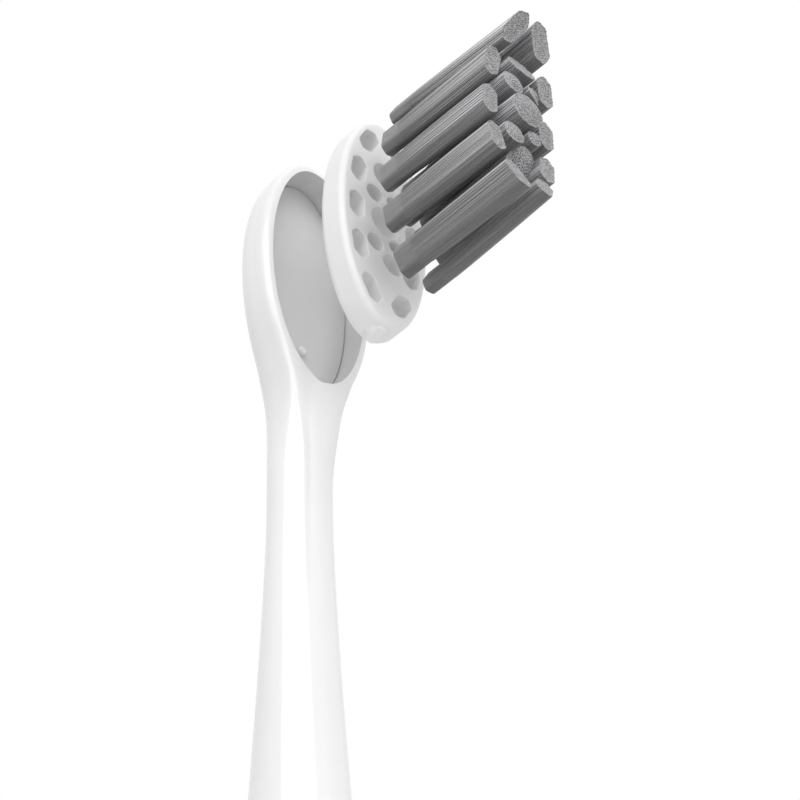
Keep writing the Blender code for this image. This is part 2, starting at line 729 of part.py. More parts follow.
def battery_contacts():
    """Thin plates with a pressed dimple towards the cell at each end."""
    for name, z, towards in (
        ("battery_contact_lower", LOWER_CONTACT_Z, 1),
        ("battery_contact_upper", UPPER_CONTACT_Z, -1),
    ):
        low = (-CONTACT_WIDTH / 2, BATTERY_Y - CONTACT_LENGTH / 2, z)
        high = (CONTACT_WIDTH / 2, BATTERY_Y + CONTACT_LENGTH / 2, z + CONTACT_THICKNESS)
        plate = block(name, low, high, slot=nickel())
        middle = z + CONTACT_THICKNESS / 2
        reach = towards * (CONTACT_THICKNESS / 2 + CONTACT_DIMPLE_HEIGHT)
        dimple = rod(name + "_dimple", CONTACT_DIMPLE_RADIUS, min(0, reach), max(0, reach),
                     (0, BATTERY_Y, middle), steps=HOLE_STEPS)
        join(plate, dimple)


def circuit_board():
    block("circuit_board", (-BOARD_WIDTH / 2, BOARD_FRONT_Y, BOARD_Z),
          (BOARD_WIDTH / 2, BOARD_BACK_Y, BOARD_TOP_Z), slot=board_green())


def board_parts():
    """The push switch behind the button and the light behind the window."""
    half = SWITCH_SIDE / 2
    switch = block("push_switch", (-half, SWITCH_FRONT_Y, BUTTON_Z - half),
                   (half, SWITCH_BACK_Y, BUTTON_Z + half), slot=nickel())
    plunger = rod("switch_plunger", PLUNGER_RADIUS, -SWITCH_FRONT_Y - SWITCH_THICKNESS / 2,
                  -PLUNGER_FRONT_Y, (0, 0, BUTTON_Z), steps=HOLE_STEPS, turn=FACE_TURN)
    join(switch, plunger)
    block("indicator_led", (-LED_WIDTH / 2, SWITCH_BACK_Y - LED_THICKNESS, LENS_Z - LED_HEIGHT / 2),
          (LED_WIDTH / 2, SWITCH_BACK_Y, LENS_Z + LED_HEIGHT / 2), slot=led_body())


def crown_cutter(name, radius, z):
    """A barrel on the drive axis, which gives a piece in the shell's wall the shell's curve."""
    span = BUTTON_RADIUS + GASKET_WALL + CUT_OVERRUN
    return rod(name, radius, z - span, z + span, (0, 0, 0), steps=FINE_STEPS * 2)


def power_button(parent):
    """Round key with an inner flange that keeps it in the shell and a stem to the switch."""
    flange_radius = BUTTON_RADIUS + RUNNING_GAP + GASKET_WALL + PRESS_GAP + BUTTON_FLANGE
    flange_front = math.sqrt(BORE_RADIUS**2 - flange_radius**2) - TOUCH_GAP
    flange_back = flange_front - BUTTON_FLANGE_THICKNESS
    stem_end = -PLUNGER_FRONT_Y + BUTTON_TRAVEL + BUTTON_SPARE
    front = GRIP_RADIUS + CUT_OVERRUN
    profile = (
        (0, stem_end),
        (BUTTON_STEM_RADIUS, stem_end),
        (BUTTON_STEM_RADIUS, flange_back),
        (flange_radius, flange_back),
        (flange_radius, flange_front),
        (BUTTON_RADIUS, flange_front),
        (BUTTON_RADIUS, front),
        (0, front),
    )
    place_at = (0, 0, BUTTON_Z)
    button = turned_piece("power_button", profile, place_at, parent, soft_grey(), turn=FACE_TURN)
    crown = crown_cutter("button_crown", grip_radius(BUTTON_Z) + BUTTON_PROUD, BUTTON_Z)
    boolean(button, crown, "INTERSECT")


def button_gasket():
    inner = BUTTON_RADIUS + RUNNING_GAP
    outer = inner + GASKET_WALL
    low = math.sqrt(BORE_RADIUS**2 - outer**2) + TOUCH_GAP
    profile = ring_profile(inner, outer, low, GRIP_RADIUS + CUT_OVERRUN)
    place_at = (0, 0, BUTTON_Z)
    gasket = turned_piece("button_gasket", profile, place_at, None, seal_rubber(), turn=FACE_TURN)
    boolean(gasket, crown_cutter("gasket_crown", grip_radius(BUTTON_Z), BUTTON_Z), "INTERSECT")


def indicator_lens():
    """Window flush with the shell, with a light pipe back to the light."""
    front = grip_radius(LENS_Z)
    profile = (
        (0, -SWITCH_BACK_Y + LED_THICKNESS + TOUCH_GAP),
        (LENS_STEM_RADIUS, -SWITCH_BACK_Y + LED_THICKNESS + TOUCH_GAP),
        (LENS_STEM_RADIUS, front - LENS_HEAD),
        (LENS_RADIUS, front - LENS_HEAD),
        (LENS_RADIUS, front + CUT_OVERRUN),
        (0, front + CUT_OVERRUN),
    )
    lens = turned_piece("indicator_lens", profile, (0, 0, LENS_Z), None, lens_clear(), SMALL_STEPS,
                        FACE_TURN)
    boolean(lens, crown_cutter("lens_crown", front, LENS_Z), "INTERSECT")


def stator():
    """Iron core of three poles that face the magnets, with a winding on the middle one."""
    outline = (
        (-STATOR_HALF_WIDTH, POLE_FACE_Y),
        (-SIDE_POLE_INNER_X, POLE_FACE_Y),
        (-SIDE_POLE_INNER_X, POLE_ROOT_Y),
        (-POLE_WIDTH / 2, POLE_ROOT_Y),
        (-POLE_WIDTH / 2, POLE_FACE_Y),
        (POLE_WIDTH / 2, POLE_FACE_Y),
        (POLE_WIDTH / 2, POLE_ROOT_Y),
        (SIDE_POLE_INNER_X, POLE_ROOT_Y),
        (SIDE_POLE_INNER_X, POLE_FACE_Y),
        (STATOR_HALF_WIDTH, POLE_FACE_Y),
        (STATOR_HALF_WIDTH, STATOR_BACK_Y),
        (-STATOR_HALF_WIDTH, STATOR_BACK_Y),
    )
    bm = bmesh.new()
    prism_into(bm, outline, STATOR_Z, STATOR_Z + STATOR_LENGTH)
    finish("stator_core", bm, (0, 0, 0), None, core_iron())
    winding_front = POLE_FACE_Y + TOUCH_GAP
    winding_back = POLE_ROOT_Y - PRESS_GAP
    middle_z = STATOR_Z + STATOR_LENGTH / 2
    half_inner = STATOR_LENGTH / 2 + PRESS_GAP
    half_outer = half_inner + WINDING_WIDTH
    bm = bmesh.new()
    corner_steps = 3
    outer = []
    for sx, sz, start in ((1, 1, 0), (-1, 1, 1), (-1, -1, 2), (1, -1, 3)):
        for i in range(corner_steps + 1):
            angle = math.pi / 2 * (start + i / corner_steps)
            x = sx * (WINDING_OUTER_X - WINDING_ROUND) + WINDING_ROUND * math.cos(angle)
            z = sz * (half_outer - WINDING_ROUND) + WINDING_ROUND * math.sin(angle)
            outer.append((x, z))
    prism_into(bm, outer, -winding_back, -winding_front)
    winding = finish("drive_coil", bm, (0, 0, middle_z), None, copper_wire(), FACE_TURN)
    window = block("coil_window", (-WINDING_INNER_X, winding_front - CUT_OVERRUN, middle_z - half_inner),
                   (WINDING_INNER_X, winding_back + CUT_OVERRUN, middle_z + half_inner))
    cut(winding, window)


def rotor(parent):
    """Hub on the shaft with two magnets on its flat, which the winding rocks to and fro."""
    hub = turned_piece("rotor_hub", ring_profile(SHAFT_RADIUS + RUNNING_GAP, HUB_RADIUS, 0, HUB_LENGTH),
                       (0, 0, HUB_Z), parent, frame_plastic())
    reach = HUB_RADIUS + CUT_OVERRUN
    top = HUB_Z + HUB_LENGTH + CUT_OVERRUN
    cut(hub, block("hub_flat", (-reach, HUB_FLAT, HUB_Z - CUT_OVERRUN), (reach, reach, top)))
    for side, sign in (("left", -1), ("right", 1)):
        edges = sorted((sign * MAGNET_SPACING / 2, sign * MAGNET_EDGE_X))
        low = (edges[0], MAGNET_BACK_Y, MAGNET_Z)
        high = (edges[1], MAGNET_FACE_Y, MAGNET_Z + MAGNET_LENGTH)
        block("rotor_magnet_" + side, low, high, (0, 0, HUB_Z), parent, magnet_metal())


def drive_shaft(parent):
    """Steel shaft from the rear bearing to the brush head, flatted where the head grips it."""
    low = MOTOR_BAY_Z - BEARING_LENGTH + RUNNING_GAP
    profile = (
        (0, low),
        (SHAFT_RADIUS - SHAFT_CHAMFER, low),
        (SHAFT_RADIUS, low + SHAFT_CHAMFER),
        (SHAFT_RADIUS, SHAFT_TOP_Z - SHAFT_CHAMFER),
        (SHAFT_RADIUS - SHAFT_CHAMFER, SHAFT_TOP_Z),
        (0, SHAFT_TOP_Z),
    )
    shaft = turned_piece("drive_shaft", profile, (0, 0, 0), parent, steel(), ROUND_STEPS)
    reach = SHAFT_RADIUS + CUT_OVERRUN
    flat_high = (reach, -SHAFT_RADIUS + SHAFT_FLAT_DEPTH, SHAFT_TOP_Z + reach)
    cut(shaft, block("shaft_flat", (-reach, -reach, HEAD_BASE_Z), flat_high))


def nose_collar():
    """Ring pressed into the nose of the shell, under the seal."""
    high = NOSE_Z - SEAL_LENGTH - PRESS_GAP
    profile = ring_profile(SHAFT_RADIUS + TOUCH_GAP, NOSE_BORE - PRESS_GAP, high - COLLAR_LENGTH, high)
    turned_piece("nose_collar", profile, (0, 0, 0), None, ring_grey(), ROUND_STEPS)


def shaft_seal():
    """Rubber lip round the shaft that keeps water out of the nose."""
    inner = SHAFT_RADIUS + RUNNING_GAP
    low = NOSE_Z - SEAL_LENGTH
    profile = (
        (inner, low),
        (NOSE_BORE - PRESS_GAP, low),
        (NOSE_BORE - PRESS_GAP, NOSE_Z),
        (SEAL_LIP_RADIUS, NOSE_Z + SEAL_PROUD),
        (inner, NOSE_Z + SEAL_PROUD),
    )
    turned_piece("shaft_seal", profile, (0, 0, 0), None, seal_rubber(), ROUND_STEPS)


# Brush head


def neck_radius(v):
    """Radius of the neck at v, below the bowl's flare."""
    base = RECESS_Z - HEAD_BASE_Z
    share = max(0, (-v - WAIST_BELOW_RECESS) / (base - WAIST_BELOW_RECESS))
    return NECK_WAIST_RADIUS + (NECK_BASE_RADIUS - NECK_WAIST_RADIUS) * share**NECK_GROWTH_POWER


def bowl_half_width(v):
    """Half the width of the head across u at v."""
    length = RECESS_HALF_LENGTH + BOWL_TIP_WALL
    width = RECESS_HALF_WIDTH + BOWL_SIDE_WALL
    bowl = width * math.sqrt(max(0, 1 - (v / length) ** 2))
    below = min(v, 0)
    neck = neck_radius(below) + FLARE_SIZE / math.cosh((below + FLARE_BELOW_RECESS) / FLARE_SPREAD)
    power = BOWL_NECK_POWER
    if v < 0:
        return (bowl**power + neck**power) ** (1 / power)
    return bowl * (1 + (neck / width) ** power) ** (1 / power)


def head_section(v):
    """Ring of points round the head at v: a circle in the neck, a flat-fronted bowl above."""
    blend = smooth_step((v + SECTION_BLEND_START) / SECTION_BLEND_LENGTH)
    power = 2 + (BOWL_SECTION_POWER - 2) * blend
    length = RECESS_HALF_LENGTH + BOWL_TIP_WALL
    tip = math.sqrt(max(0, 1 - (max(v, 0) / length) ** 4))
    half_width = bowl_half_width(v)
    centre = AXIS_BEHIND_RIM + (BOWL_CENTRE_DEPTH - AXIS_BEHIND_RIM) * blend
    half_depth = neck_radius(v) * (1 - blend) + BOWL_HALF_DEPTH * tip * blend
    front = RIM_STEP * (1 - blend)
    points = []
    for i in range(HEAD_STEPS):
        angle = math.tau * (i + 1 / 2) / HEAD_STEPS
        u = half_width * signed_power(math.cos(angle), 2 / power)
        n = half_depth * signed_power(math.sin(angle), 2 / power) - centre
        points.append((u, -min(n, front) if blend > 0 else -n))
    return points


def head_stations():
    """Heights v of the head's sections, from the base of the neck to the tip."""
    top = RECESS_HALF_LENGTH + BOWL_TIP_WALL
    stations = [-NECK_LENGTH + BASE_RING_HEIGHT + PRESS_GAP]
    neck = stations[0]
    step = (-SECTION_BLEND_START - neck) / NECK_STATIONS
    stations += [neck + step * (i + 1) for i in range(NECK_STATIONS)]
    step = SECTION_BLEND_LENGTH / BLEND_STATIONS
    stations += [-SECTION_BLEND_START + step * (i + 1) for i in range(BLEND_STATIONS)]
    bowl = -SECTION_BLEND_START + SECTION_BLEND_LENGTH
    stations += [bowl * (1 - (i + 1) / BOWL_STATIONS) for i in range(BOWL_STATIONS)]
    stations += [top * share for share in TIP_STATION_SHARES]
    return stations


def oval(half_width, half_length, steps=OVAL_STEPS):
    points = []
    for i in range(steps):
        angle = math.tau * (i + 1 / 2) / steps
        points.append((half_width * math.cos(angle), half_length * math.sin(angle)))
    return points


def head_shell(parent):
    bm = bmesh.new()
    spigot = []
    for i in range(HEAD_STEPS):
        angle = math.tau * (i + 1 / 2) / HEAD_STEPS
        spigot.append((SPIGOT_RADIUS * math.cos(angle), -SPIGOT_RADIUS * math.sin(angle)))
    rings = []
    for v in (-NECK_LENGTH, -NECK_LENGTH + BASE_RING_HEIGHT + PRESS_GAP):
        rings.append([(x, y, v + NECK_LENGTH) for x, y in spigot])
    for v in head_stations():
        rings.append([(x, y + RECESS_RIM_Y, v + NECK_LENGTH) for x, y in head_section(v)])
    loft_into(bm, rings)
    shell = finish("head_shell", bm, (0, 0, HEAD_BASE_Z), parent, gloss_white())
    recess_bm = bmesh.new()
    prism_into(recess_bm, oval(RECESS_HALF_WIDTH, RECESS_HALF_LENGTH), -RECESS_DEPTH, CUT_OVERRUN)
    recess = finish("recess_cutter", recess_bm, (0, RECESS_RIM_Y, RECESS_Z), None, None, FACE_TURN)
    notch = rod("key_notch", KEY_RADIUS + KEY_GAP, -RECESS_DEPTH, CUT_OVERRUN,
                (0, RECESS_RIM_Y, RECESS_Z - CARRIER_HALF_LENGTH - KEY_REACH + KEY_RADIUS),
                steps=SMALL_STEPS, turn=FACE_TURN)
    pin = rod("recess_pin", PIN_RADIUS, -RECESS_DEPTH - PIN_HEIGHT, -RECESS_DEPTH + PIN_HEIGHT,
              (0, RECESS_RIM_Y, RECESS_Z - PIN_BELOW_CENTRE), steps=HOLE_STEPS, turn=FACE_TURN)
    join(recess, notch)
    cut(recess, pin)
    bore = rod("neck_bore", NECK_BORE, -CUT_OVERRUN, NECK_BORE_DEPTH, (0, 0, HEAD_BASE_Z),
               steps=ROUND_STEPS)
    cut(shell, bore, recess)


def base_ring(parent):
    """Ring on the neck's spigot that tells one head from another."""
    inner = SPIGOT_RADIUS + PRESS_GAP
    profile = (
        (inner, 0),
        (NECK_BASE_RADIUS - BASE_RING_ROUND, 0),
        (NECK_BASE_RADIUS, BASE_RING_ROUND),
        (NECK_BASE_RADIUS, BASE_RING_HEIGHT),
        (inner, BASE_RING_HEIGHT),
    )
    turned_piece("base_ring", profile, (0, 0, HEAD_BASE_Z), parent, ring_grey(), ROUND_STEPS)


def drive_socket(parent):
    """Sleeve in the neck whose D-shaped bore turns with the shaft."""
    sleeve = rod("drive_socket", SOCKET_RADIUS, 0, SOCKET_LENGTH, (0, 0, SOCKET_Z), parent,
                 frame_plastic(), ROUND_STEPS)
    bore = rod("socket_bore", SOCKET_BORE, -CUT_OVERRUN, SOCKET_LENGTH + CUT_OVERRUN,
               (0, 0, SOCKET_Z), steps=ROUND_STEPS)
    flat_y = -SHAFT_RADIUS + SHAFT_FLAT_DEPTH - RUNNING_GAP
    reach = SOCKET_RADIUS
    key = block("socket_key", (-reach, -reach, SOCKET_Z - CUT_OVERRUN * 2),
                (reach, flat_y, SOCKET_Z + SOCKET_LENGTH + CUT_OVERRUN * 2))
    boolean(bore, key, "DIFFERENCE")
    cut(sleeve, bore)


def retention_clip(parent):
    """Open steel ring above the socket that grips the end of the shaft."""
    inner = SHAFT_RADIUS + CLIP_CLEARANCE
    clip = turned_piece("retention_clip", ring_profile(inner, inner + CLIP_WALL, 0, CLIP_THICKNESS),
                        (0, 0, CLIP_Z), parent, spring_steel(), ROUND_STEPS)
    half = CLIP_GAP_WIDTH / 2
    opening = block("clip_opening", (-half, 0, CLIP_Z - CUT_OVERRUN),
                    (half, inner + CLIP_WALL + CUT_OVERRUN, CLIP_Z + CLIP_THICKNESS + CUT_OVERRUN))
    cut(clip, opening)


# Bristle carrier and tufts


def ring_oval():
    return CARRIER_HALF_WIDTH - RING_INSET, CARRIER_HALF_LENGTH - RING_INSET


def ring_places():
    """Centres and tangent angles of the ring's tufts, at equal steps of arc round its oval."""
    a, b = ring_oval()
    samples = 720
    turns = [math.tau * i / samples for i in range(samples + 1)]
    path = [(a * math.cos(turn), b * math.sin(turn)) for turn in turns]
    lengths = [0]
    for (x0, y0), (x1, y1) in zip(path, path[1:]):
        lengths.append(lengths[-1] + math.hypot(x1 - x0, y1 - y0))
    places = []
    for k in range(RING_TUFTS):
        wanted = lengths[-1] * k / RING_TUFTS
        i = min(next(j for j in range(samples) if lengths[j + 1] > wanted), samples - 1)
        share = (wanted - lengths[i]) / (lengths[i + 1] - lengths[i])
        u = path[i][0] + (path[i + 1][0] - path[i][0]) * share
        v = path[i][1] + (path[i + 1][1] - path[i][1]) * share
        places.append((u, v, math.atan2(v * a / b, u * b / a)))
    return places


def ring_tip(v):
    """Tip height of the ring's bristles above the carrier: higher towards both ends."""
    return RING_TIP + RING_END_RISE * abs(v / ring_oval()[1]) ** RING_RISE_POWER


def hexagon(half_width, half_length, point, corner, gap=0):
    """Long hexagon with nipped corners, grown by a gap all round."""
    w = half_width + gap
    h = half_length + gap
    shoulder = h - point
    corners = [(w, -shoulder), (w, shoulder), (0, h), (-w, shoulder), (-w, -shoulder), (0, -h)]
    points = []
    for i, (x, y) in enumerate(corners):
        for j in (i - 1, (i + 1) % len(corners)):
            dx = corners[j][0] - x
            dy = corners[j][1] - y
            reach = corner / math.hypot(dx, dy)
            points.append((x + dx * reach, y + dy * reach))
    return points


def round_outline(radius, sides, gap=0):
    reach = radius + gap / math.cos(math.pi / sides)
    angles = [math.tau * (i + 1 / 2) / sides for i in range(sides)]
    return [(reach * math.cos(angle), reach * math.sin(angle)) for angle in angles]


def turn_points(points, angle, u, v):
    c, s = math.cos(angle), math.sin(angle)
    return [(u + x * c - y * s, v + x * s + y * c) for x, y in points]


class Tuft:
    """A tuft's name, the outline of its root about its own centre, and its tips."""

    def __init__(self, name, shape, place, angle, tip):
        self.name = name
        self.shape = shape
        self.place = place
        self.angle = angle
        self.tip = tip

    def outline(self, gap):
        return turn_points(self.shape(gap), self.angle, *self.place)

    def strands(self):
        """Where each strand leaves the root, and where its tip is: a little further out."""
        places = strand_places(self.shape(0))
        tips = [(x * (1 + SPREAD_SHARE), y * (1 + SPREAD_SHARE)) for x, y in places]
        return zip(*(turn_points(ends, self.angle, *self.place) for ends in (places, tips)))


def ring_shape(gap):
    return hexagon(RING_HALF_WIDTH, RING_HALF_LENGTH, RING_POINT, RING_CORNER, gap)


def inner_tuft(name, across_share, along_share, radius_share, tip_share, slope, drop_share, sides):
    half_width, half_length = ring_oval()
    u = half_width * across_share
    v = half_length * along_share
    radius = INNER_RADIUS * radius_share

    def height(x, y):
        away = math.hypot(x - u, y - v) / radius
        return INNER_TIP * tip_share + slope * (y - v) - radius * drop_share * away**2

    return Tuft(name, lambda gap: round_outline(radius, sides, gap), (u, v), 0, height)


def all_tufts():
    ring = [
        Tuft(name, ring_shape, (u, v), angle, lambda x, y: ring_tip(y))
        for name, (u, v, angle) in zip(RING_NAMES, ring_places())
    ]
    return ring + [inner_tuft(*row) for row in INNER_TUFT_SHARES]


def inside(outline, x, y, margin):
    """Whether a point lies in a convex outline by at least a margin."""
    for (x0, y0), (x1, y1) in zip(outline, outline[1:] + outline[:1]):
        edge = math.hypot(x1 - x0, y1 - y0)
        if ((x1 - x0) * (y - y0) - (y1 - y0) * (x - x0)) / edge < margin:
            return False
    return True


def strand_places(shape):
    """Staggered grid of strand centres inside a root's shape."""
    reach = max(math.hypot(x, y) for x, y in shape)
    row_step = STRAND_PITCH * math.sqrt(3) / 2
    rows = int(reach / row_step) + 1
    columns = int(reach / STRAND_PITCH) + 1
    places = []
    for row in range(-rows, rows + 1):
        for column in range(-columns, columns + 1):
            x = row * row_step
            y = (column + (row % 2) / 2) * STRAND_PITCH
            if inside(shape, x, y, STRAND_RADIUS + STRAND_MARGIN):
                places.append((x, y))
    return places


def tuft(design, parent):
    """A root slice shaped like its hole, whose front face runs into the strands that stand on it."""
    origin = (0, RECESS_RIM_Y - TUFT_ROOT_N, RECESS_Z)
    section = round_outline(STRAND_RADIUS, STRAND_SIDES)
    bm = bmesh.new()
    back = [bm.verts.new((x, y, 0)) for x, y in design.outline(0)]
    rim = [bm.verts.new((x, y, ROOT_LENGTH)) for x, y in design.outline(0)]
    bm.faces.new(list(reversed(back)))
    front_edges = wall_into(bm, back, rim)
    for foot, end in design.strands():
        corners = turn_points(section, 0, *end)
        tip = [bm.verts.new((x, y, design.tip(x, y) - TUFT_DRAWN_OUT)) for x, y in corners]
        corners = turn_points(section, 0, *foot)
        base = [bm.verts.new((x, y, ROOT_LENGTH)) for x, y in corners]
        bm.faces.new(tip)
        front_edges += wall_into(bm, tip, base)
    bmesh.ops.triangle_fill(bm, use_beauty=True, edges=front_edges, normal=(0, 0, 1))
    finish(design.name, bm, origin, parent, bristle_grey(), FACE_TURN)


def bristle_carrier(parent):
    """Oval plate with a hole for each tuft, a locating key and a hole for the recess's pin."""
    origin = (0, RECESS_RIM_Y - CARRIER_DRAWN_OUT, RECESS_Z)
    rounding = 3
    levels = [(CARRIER_BACK_CHAMFER, 0), (0, CARRIER_BACK_CHAMFER)]
    for i in range(rounding + 1):
        angle = math.pi / 2 * i / rounding
        levels.append((CARRIER_FRONT_ROUND * (1 - math.cos(angle)),
                       CARRIER_THICKNESS - CARRIER_FRONT_ROUND * (1 - math.sin(angle))))
    rings = []
    for inset, n in levels:
        ring = oval(CARRIER_HALF_WIDTH - inset, CARRIER_HALF_LENGTH - inset)
        rings.append([(x, y, n) for x, y in ring])
    bm = bmesh.new()
    loft_into(bm, rings)
    carrier = finish("bristle_carrier", bm, origin, parent, carrier_white(), FACE_TURN)
    key_n = CARRIER_THICKNESS - CARRIER_FRONT_ROUND * 2
    key_place = (0, origin[1], RECESS_Z - CARRIER_HALF_LENGTH - KEY_REACH + KEY_RADIUS)
    key = rod("carrier_key", KEY_RADIUS, CARRIER_BACK_CHAMFER, key_n, key_place, turn=FACE_TURN)
    join(carrier, key)
    bm = bmesh.new()
    for design in all_tufts():
        prism_into(bm, design.outline(TUFT_GAP), -CUT_OVERRUN, CARRIER_THICKNESS + CUT_OVERRUN)
    holes = finish("tuft_holes", bm, origin, None, None, FACE_TURN)
    pin_place = (0, origin[1], RECESS_Z - PIN_BELOW_CENTRE)
    pin_hole = rod("pin_hole", PIN_RADIUS + PRESS_GAP, -CUT_OVERRUN, PIN_HEIGHT + PRESS_GAP,
                   pin_place, steps=HOLE_STEPS, turn=FACE_TURN)
    cut(carrier, holes, pin_hole)


def build():
    clear_scene()
    handle_shell()
    bottom_cap()
    cap_screws()
    cap_seal()
    charging_coil()
    chassis()
    bearings()
    battery()
    battery_contacts()
    circuit_board()
    board_parts()
    button_gasket()
    indicator_lens()
    stator()
    nose_collar()
    shaft_seal()
    button_axis = joint_frame("button_axis", (0, -GRIP_RADIUS, BUTTON_Z))
    power_button(button_axis)
    drive_axis = joint_frame("drive_axis", (0, 0, HUB_Z))
    rotor(drive_axis)
    drive_shaft(drive_axis)
    head_axis = joint_frame("head_axis", (0, 0, HEAD_BASE_Z), drive_axis)
    head_shell(head_axis)
    base_ring(head_axis)
    drive_socket(head_axis)
    retention_clip(head_axis)
    carrier_origin = (0, RECESS_RIM_Y - CARRIER_DRAWN_OUT, RECESS_Z)
    carrier_slide = joint_frame("carrier_slide", carrier_origin, head_axis)
    bristle_carrier(carrier_slide)
    tuft_slide = joint_frame("tuft_slide", (0, RECESS_RIM_Y - TUFT_ROOT_N, RECESS_Z), carrier_slide)
    for design in all_tufts():
        tuft(design, tuft_slide)


build()
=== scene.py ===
"""Looks of the electric toothbrush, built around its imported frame.

Metres, +Z up. The brush head is drawn in its own coordinates: u runs across it (+X), v along
the neck (+Z) and n out of the recess (-Y), counted from the centre of the recess's rim.
"""

import json
import math
import random

import bmesh
import bpy
import numpy as np
from mathutils import Matrix, Vector

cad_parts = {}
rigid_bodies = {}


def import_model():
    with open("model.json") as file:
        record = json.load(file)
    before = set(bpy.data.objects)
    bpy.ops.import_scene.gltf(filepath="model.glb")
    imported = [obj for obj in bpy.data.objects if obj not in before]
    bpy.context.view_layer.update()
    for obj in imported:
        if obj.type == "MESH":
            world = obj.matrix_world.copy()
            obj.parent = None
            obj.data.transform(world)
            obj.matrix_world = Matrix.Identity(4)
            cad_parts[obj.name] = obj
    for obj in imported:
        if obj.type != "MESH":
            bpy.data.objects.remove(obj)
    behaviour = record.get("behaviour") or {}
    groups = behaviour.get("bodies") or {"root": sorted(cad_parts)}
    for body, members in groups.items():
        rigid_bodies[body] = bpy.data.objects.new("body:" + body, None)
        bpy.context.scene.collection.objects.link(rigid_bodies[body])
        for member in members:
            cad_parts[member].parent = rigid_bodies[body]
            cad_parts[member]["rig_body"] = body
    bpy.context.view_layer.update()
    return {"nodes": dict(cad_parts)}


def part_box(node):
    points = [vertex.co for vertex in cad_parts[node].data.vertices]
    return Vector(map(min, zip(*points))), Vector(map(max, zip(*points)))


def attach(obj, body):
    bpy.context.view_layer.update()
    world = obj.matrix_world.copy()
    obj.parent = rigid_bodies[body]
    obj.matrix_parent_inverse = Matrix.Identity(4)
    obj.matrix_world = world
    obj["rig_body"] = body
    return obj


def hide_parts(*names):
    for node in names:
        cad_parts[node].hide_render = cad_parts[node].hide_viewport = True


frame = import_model()

MM = 0.001

# Brush head: the recess, its rim and the outside of the bowl
RECESS_HALF_WIDTH = 5.0 * MM
RECESS_HALF_LENGTH = 11.93 * MM
RECESS_DEPTH = 2.34 * MM
RECESS_CORNER = 0.04 * MM
GROOVE_WIDTH = 0.10 * MM
GROOVE_DEPTH = 0.14 * MM
RIM_FLARE = 0.10 * MM
RIM_ROUND = 0.45 * MM
RIM_FULL_DEPTH = 1.98 * MM
RIM_POWER = 5
RIM_TIP_POWER = 11
SIDE_WALL = 0.87 * MM
TIP_WALL = 0.90 * MM
BOWL_CENTRE_DEPTH = 1.71 * MM
BOWL_HALF_DEPTH = 3.27 * MM
BOWL_POWER = 2.5
BOWL_TIP_POWER = 4
BOWL_NECK_POWER = 6.4
AXIS_BEHIND_RIM = 2.44 * MM
CUT_OVERRUN = 2.0 * MM

# Brush head: the neck
NECK_BASE_RADIUS = 5.0 * MM
NECK_WAIST_RADIUS = 2.54 * MM
WAIST_BELOW_RECESS = 25.3 * MM
NECK_GROWTH_POWER = 1.38
FLARE_SIZE = 0.79 * MM
FLARE_BELOW_RECESS = 11.07 * MM
FLARE_SPREAD = 1.53 * MM
BLEND_BELOW_RECESS = 22.0 * MM
BLEND_LENGTH = 10.0 * MM
NECK_DEPTH_SHARE = 0.82
SPIGOT_RADIUS = 3.9 * MM
SPIGOT_LENGTH = 3.72 * MM
NECK_BORE_RADIUS = 3.01 * MM
NECK_BORE_DEPTH = 15.72 * MM

# Brush head: what locates the carrier in its recess
PIN_RADIUS = 0.42 * MM
PIN_HEIGHT = 0.4 * MM
PIN_BELOW_CENTRE = 7.2 * MM
KEY_RADIUS = 0.95 * MM
KEY_REACH = 0.35 * MM
KEY_GAP = 0.08 * MM
KEY_ROUND = 0.15 * MM
KEY_TOP = 2.3 * MM
KEY_BOSS_RADIUS = 0.88 * MM

# Bristle carrier
CARRIER_GAP = 0.24 * MM
CARRIER_THICKNESS = 2.5 * MM
CARRIER_FRONT_ROUND = 0.55 * MM
CARRIER_BACK_CHAMFER = 0.4 * MM
TUFT_GAP = 0.08 * MM
HOLE_ROUND = 0.04 * MM
PIN_HOLE_GAP = 0.2 * MM

# Tufts
ROOT_LENGTH = 2.5 * MM
ROOT_ROUND = 0.06 * MM
ROOT_CORNER_REACH = 0.07 * MM
HOLE_CORNER_REACH = 0.20 * MM
ROOT_FADE = 0.9 * MM
CORE_INSET = 0.06 * MM
CORE_BELOW_TIP = 0.01 * MM
STRAND_RADIUS = 0.08 * MM
EDGE_PITCH = 0.095 * MM
STRAND_PITCH = 0.155 * MM
STRAND_SIDES = 6
STRAND_DOME_SHARE = 0.6
STRAND_CROWN_SHARE = 0.3
STRAND_JITTER = 0.02 * MM
STRAND_DRIFT = 0.015 * MM
STRAND_DEPTH = 0.8 * MM
STUB_LENGTH = 0.9 * MM
TIP_SCATTER = 0.03 * MM
SPREAD_SHARE = 0.13
SPREAD_EASE_SHARE = 0.5
STRAND_RING_SHARES = (0.0, 0.03, 0.12, 0.35, 0.65, 1.0)
CORE_RING_SHARES = (0.7, 0.4, 0.1)

# Cut ends of the tufts: radius, slope along u and v, drop at the edge, swell of the tuft
# halfway up as a share of its radius, and shift along u, v and n
TIP_RADII = {
    "tuft_left_1": 1.55 * MM,
    "tuft_right_1": 1.75 * MM,
    "tuft_centre_upper": 1.38 * MM,
    "tuft_centre_middle": 1.65 * MM,
    "tuft_centre_lower": 1.45 * MM,
    "tuft_inner_left_upper": 1.14 * MM,
    "tuft_inner_left_lower": 1.14 * MM,
    "tuft_inner_right_upper": 0.88 * MM,
    "tuft_inner_right_lower": 0.75 * MM,
}
TIP_SLOPE_SHARES = {
    "tuft_left_1": (0.0, 0.6),
    "tuft_centre_upper": (0.0, -0.40),
    "tuft_inner_right_upper": (-0.42, -0.30),
    "tuft_inner_left_upper": (0.0, -0.10),
    "tuft_inner_left_lower": (0.0, -0.10),
    "tuft_left_5": (0.0, -0.28),
}
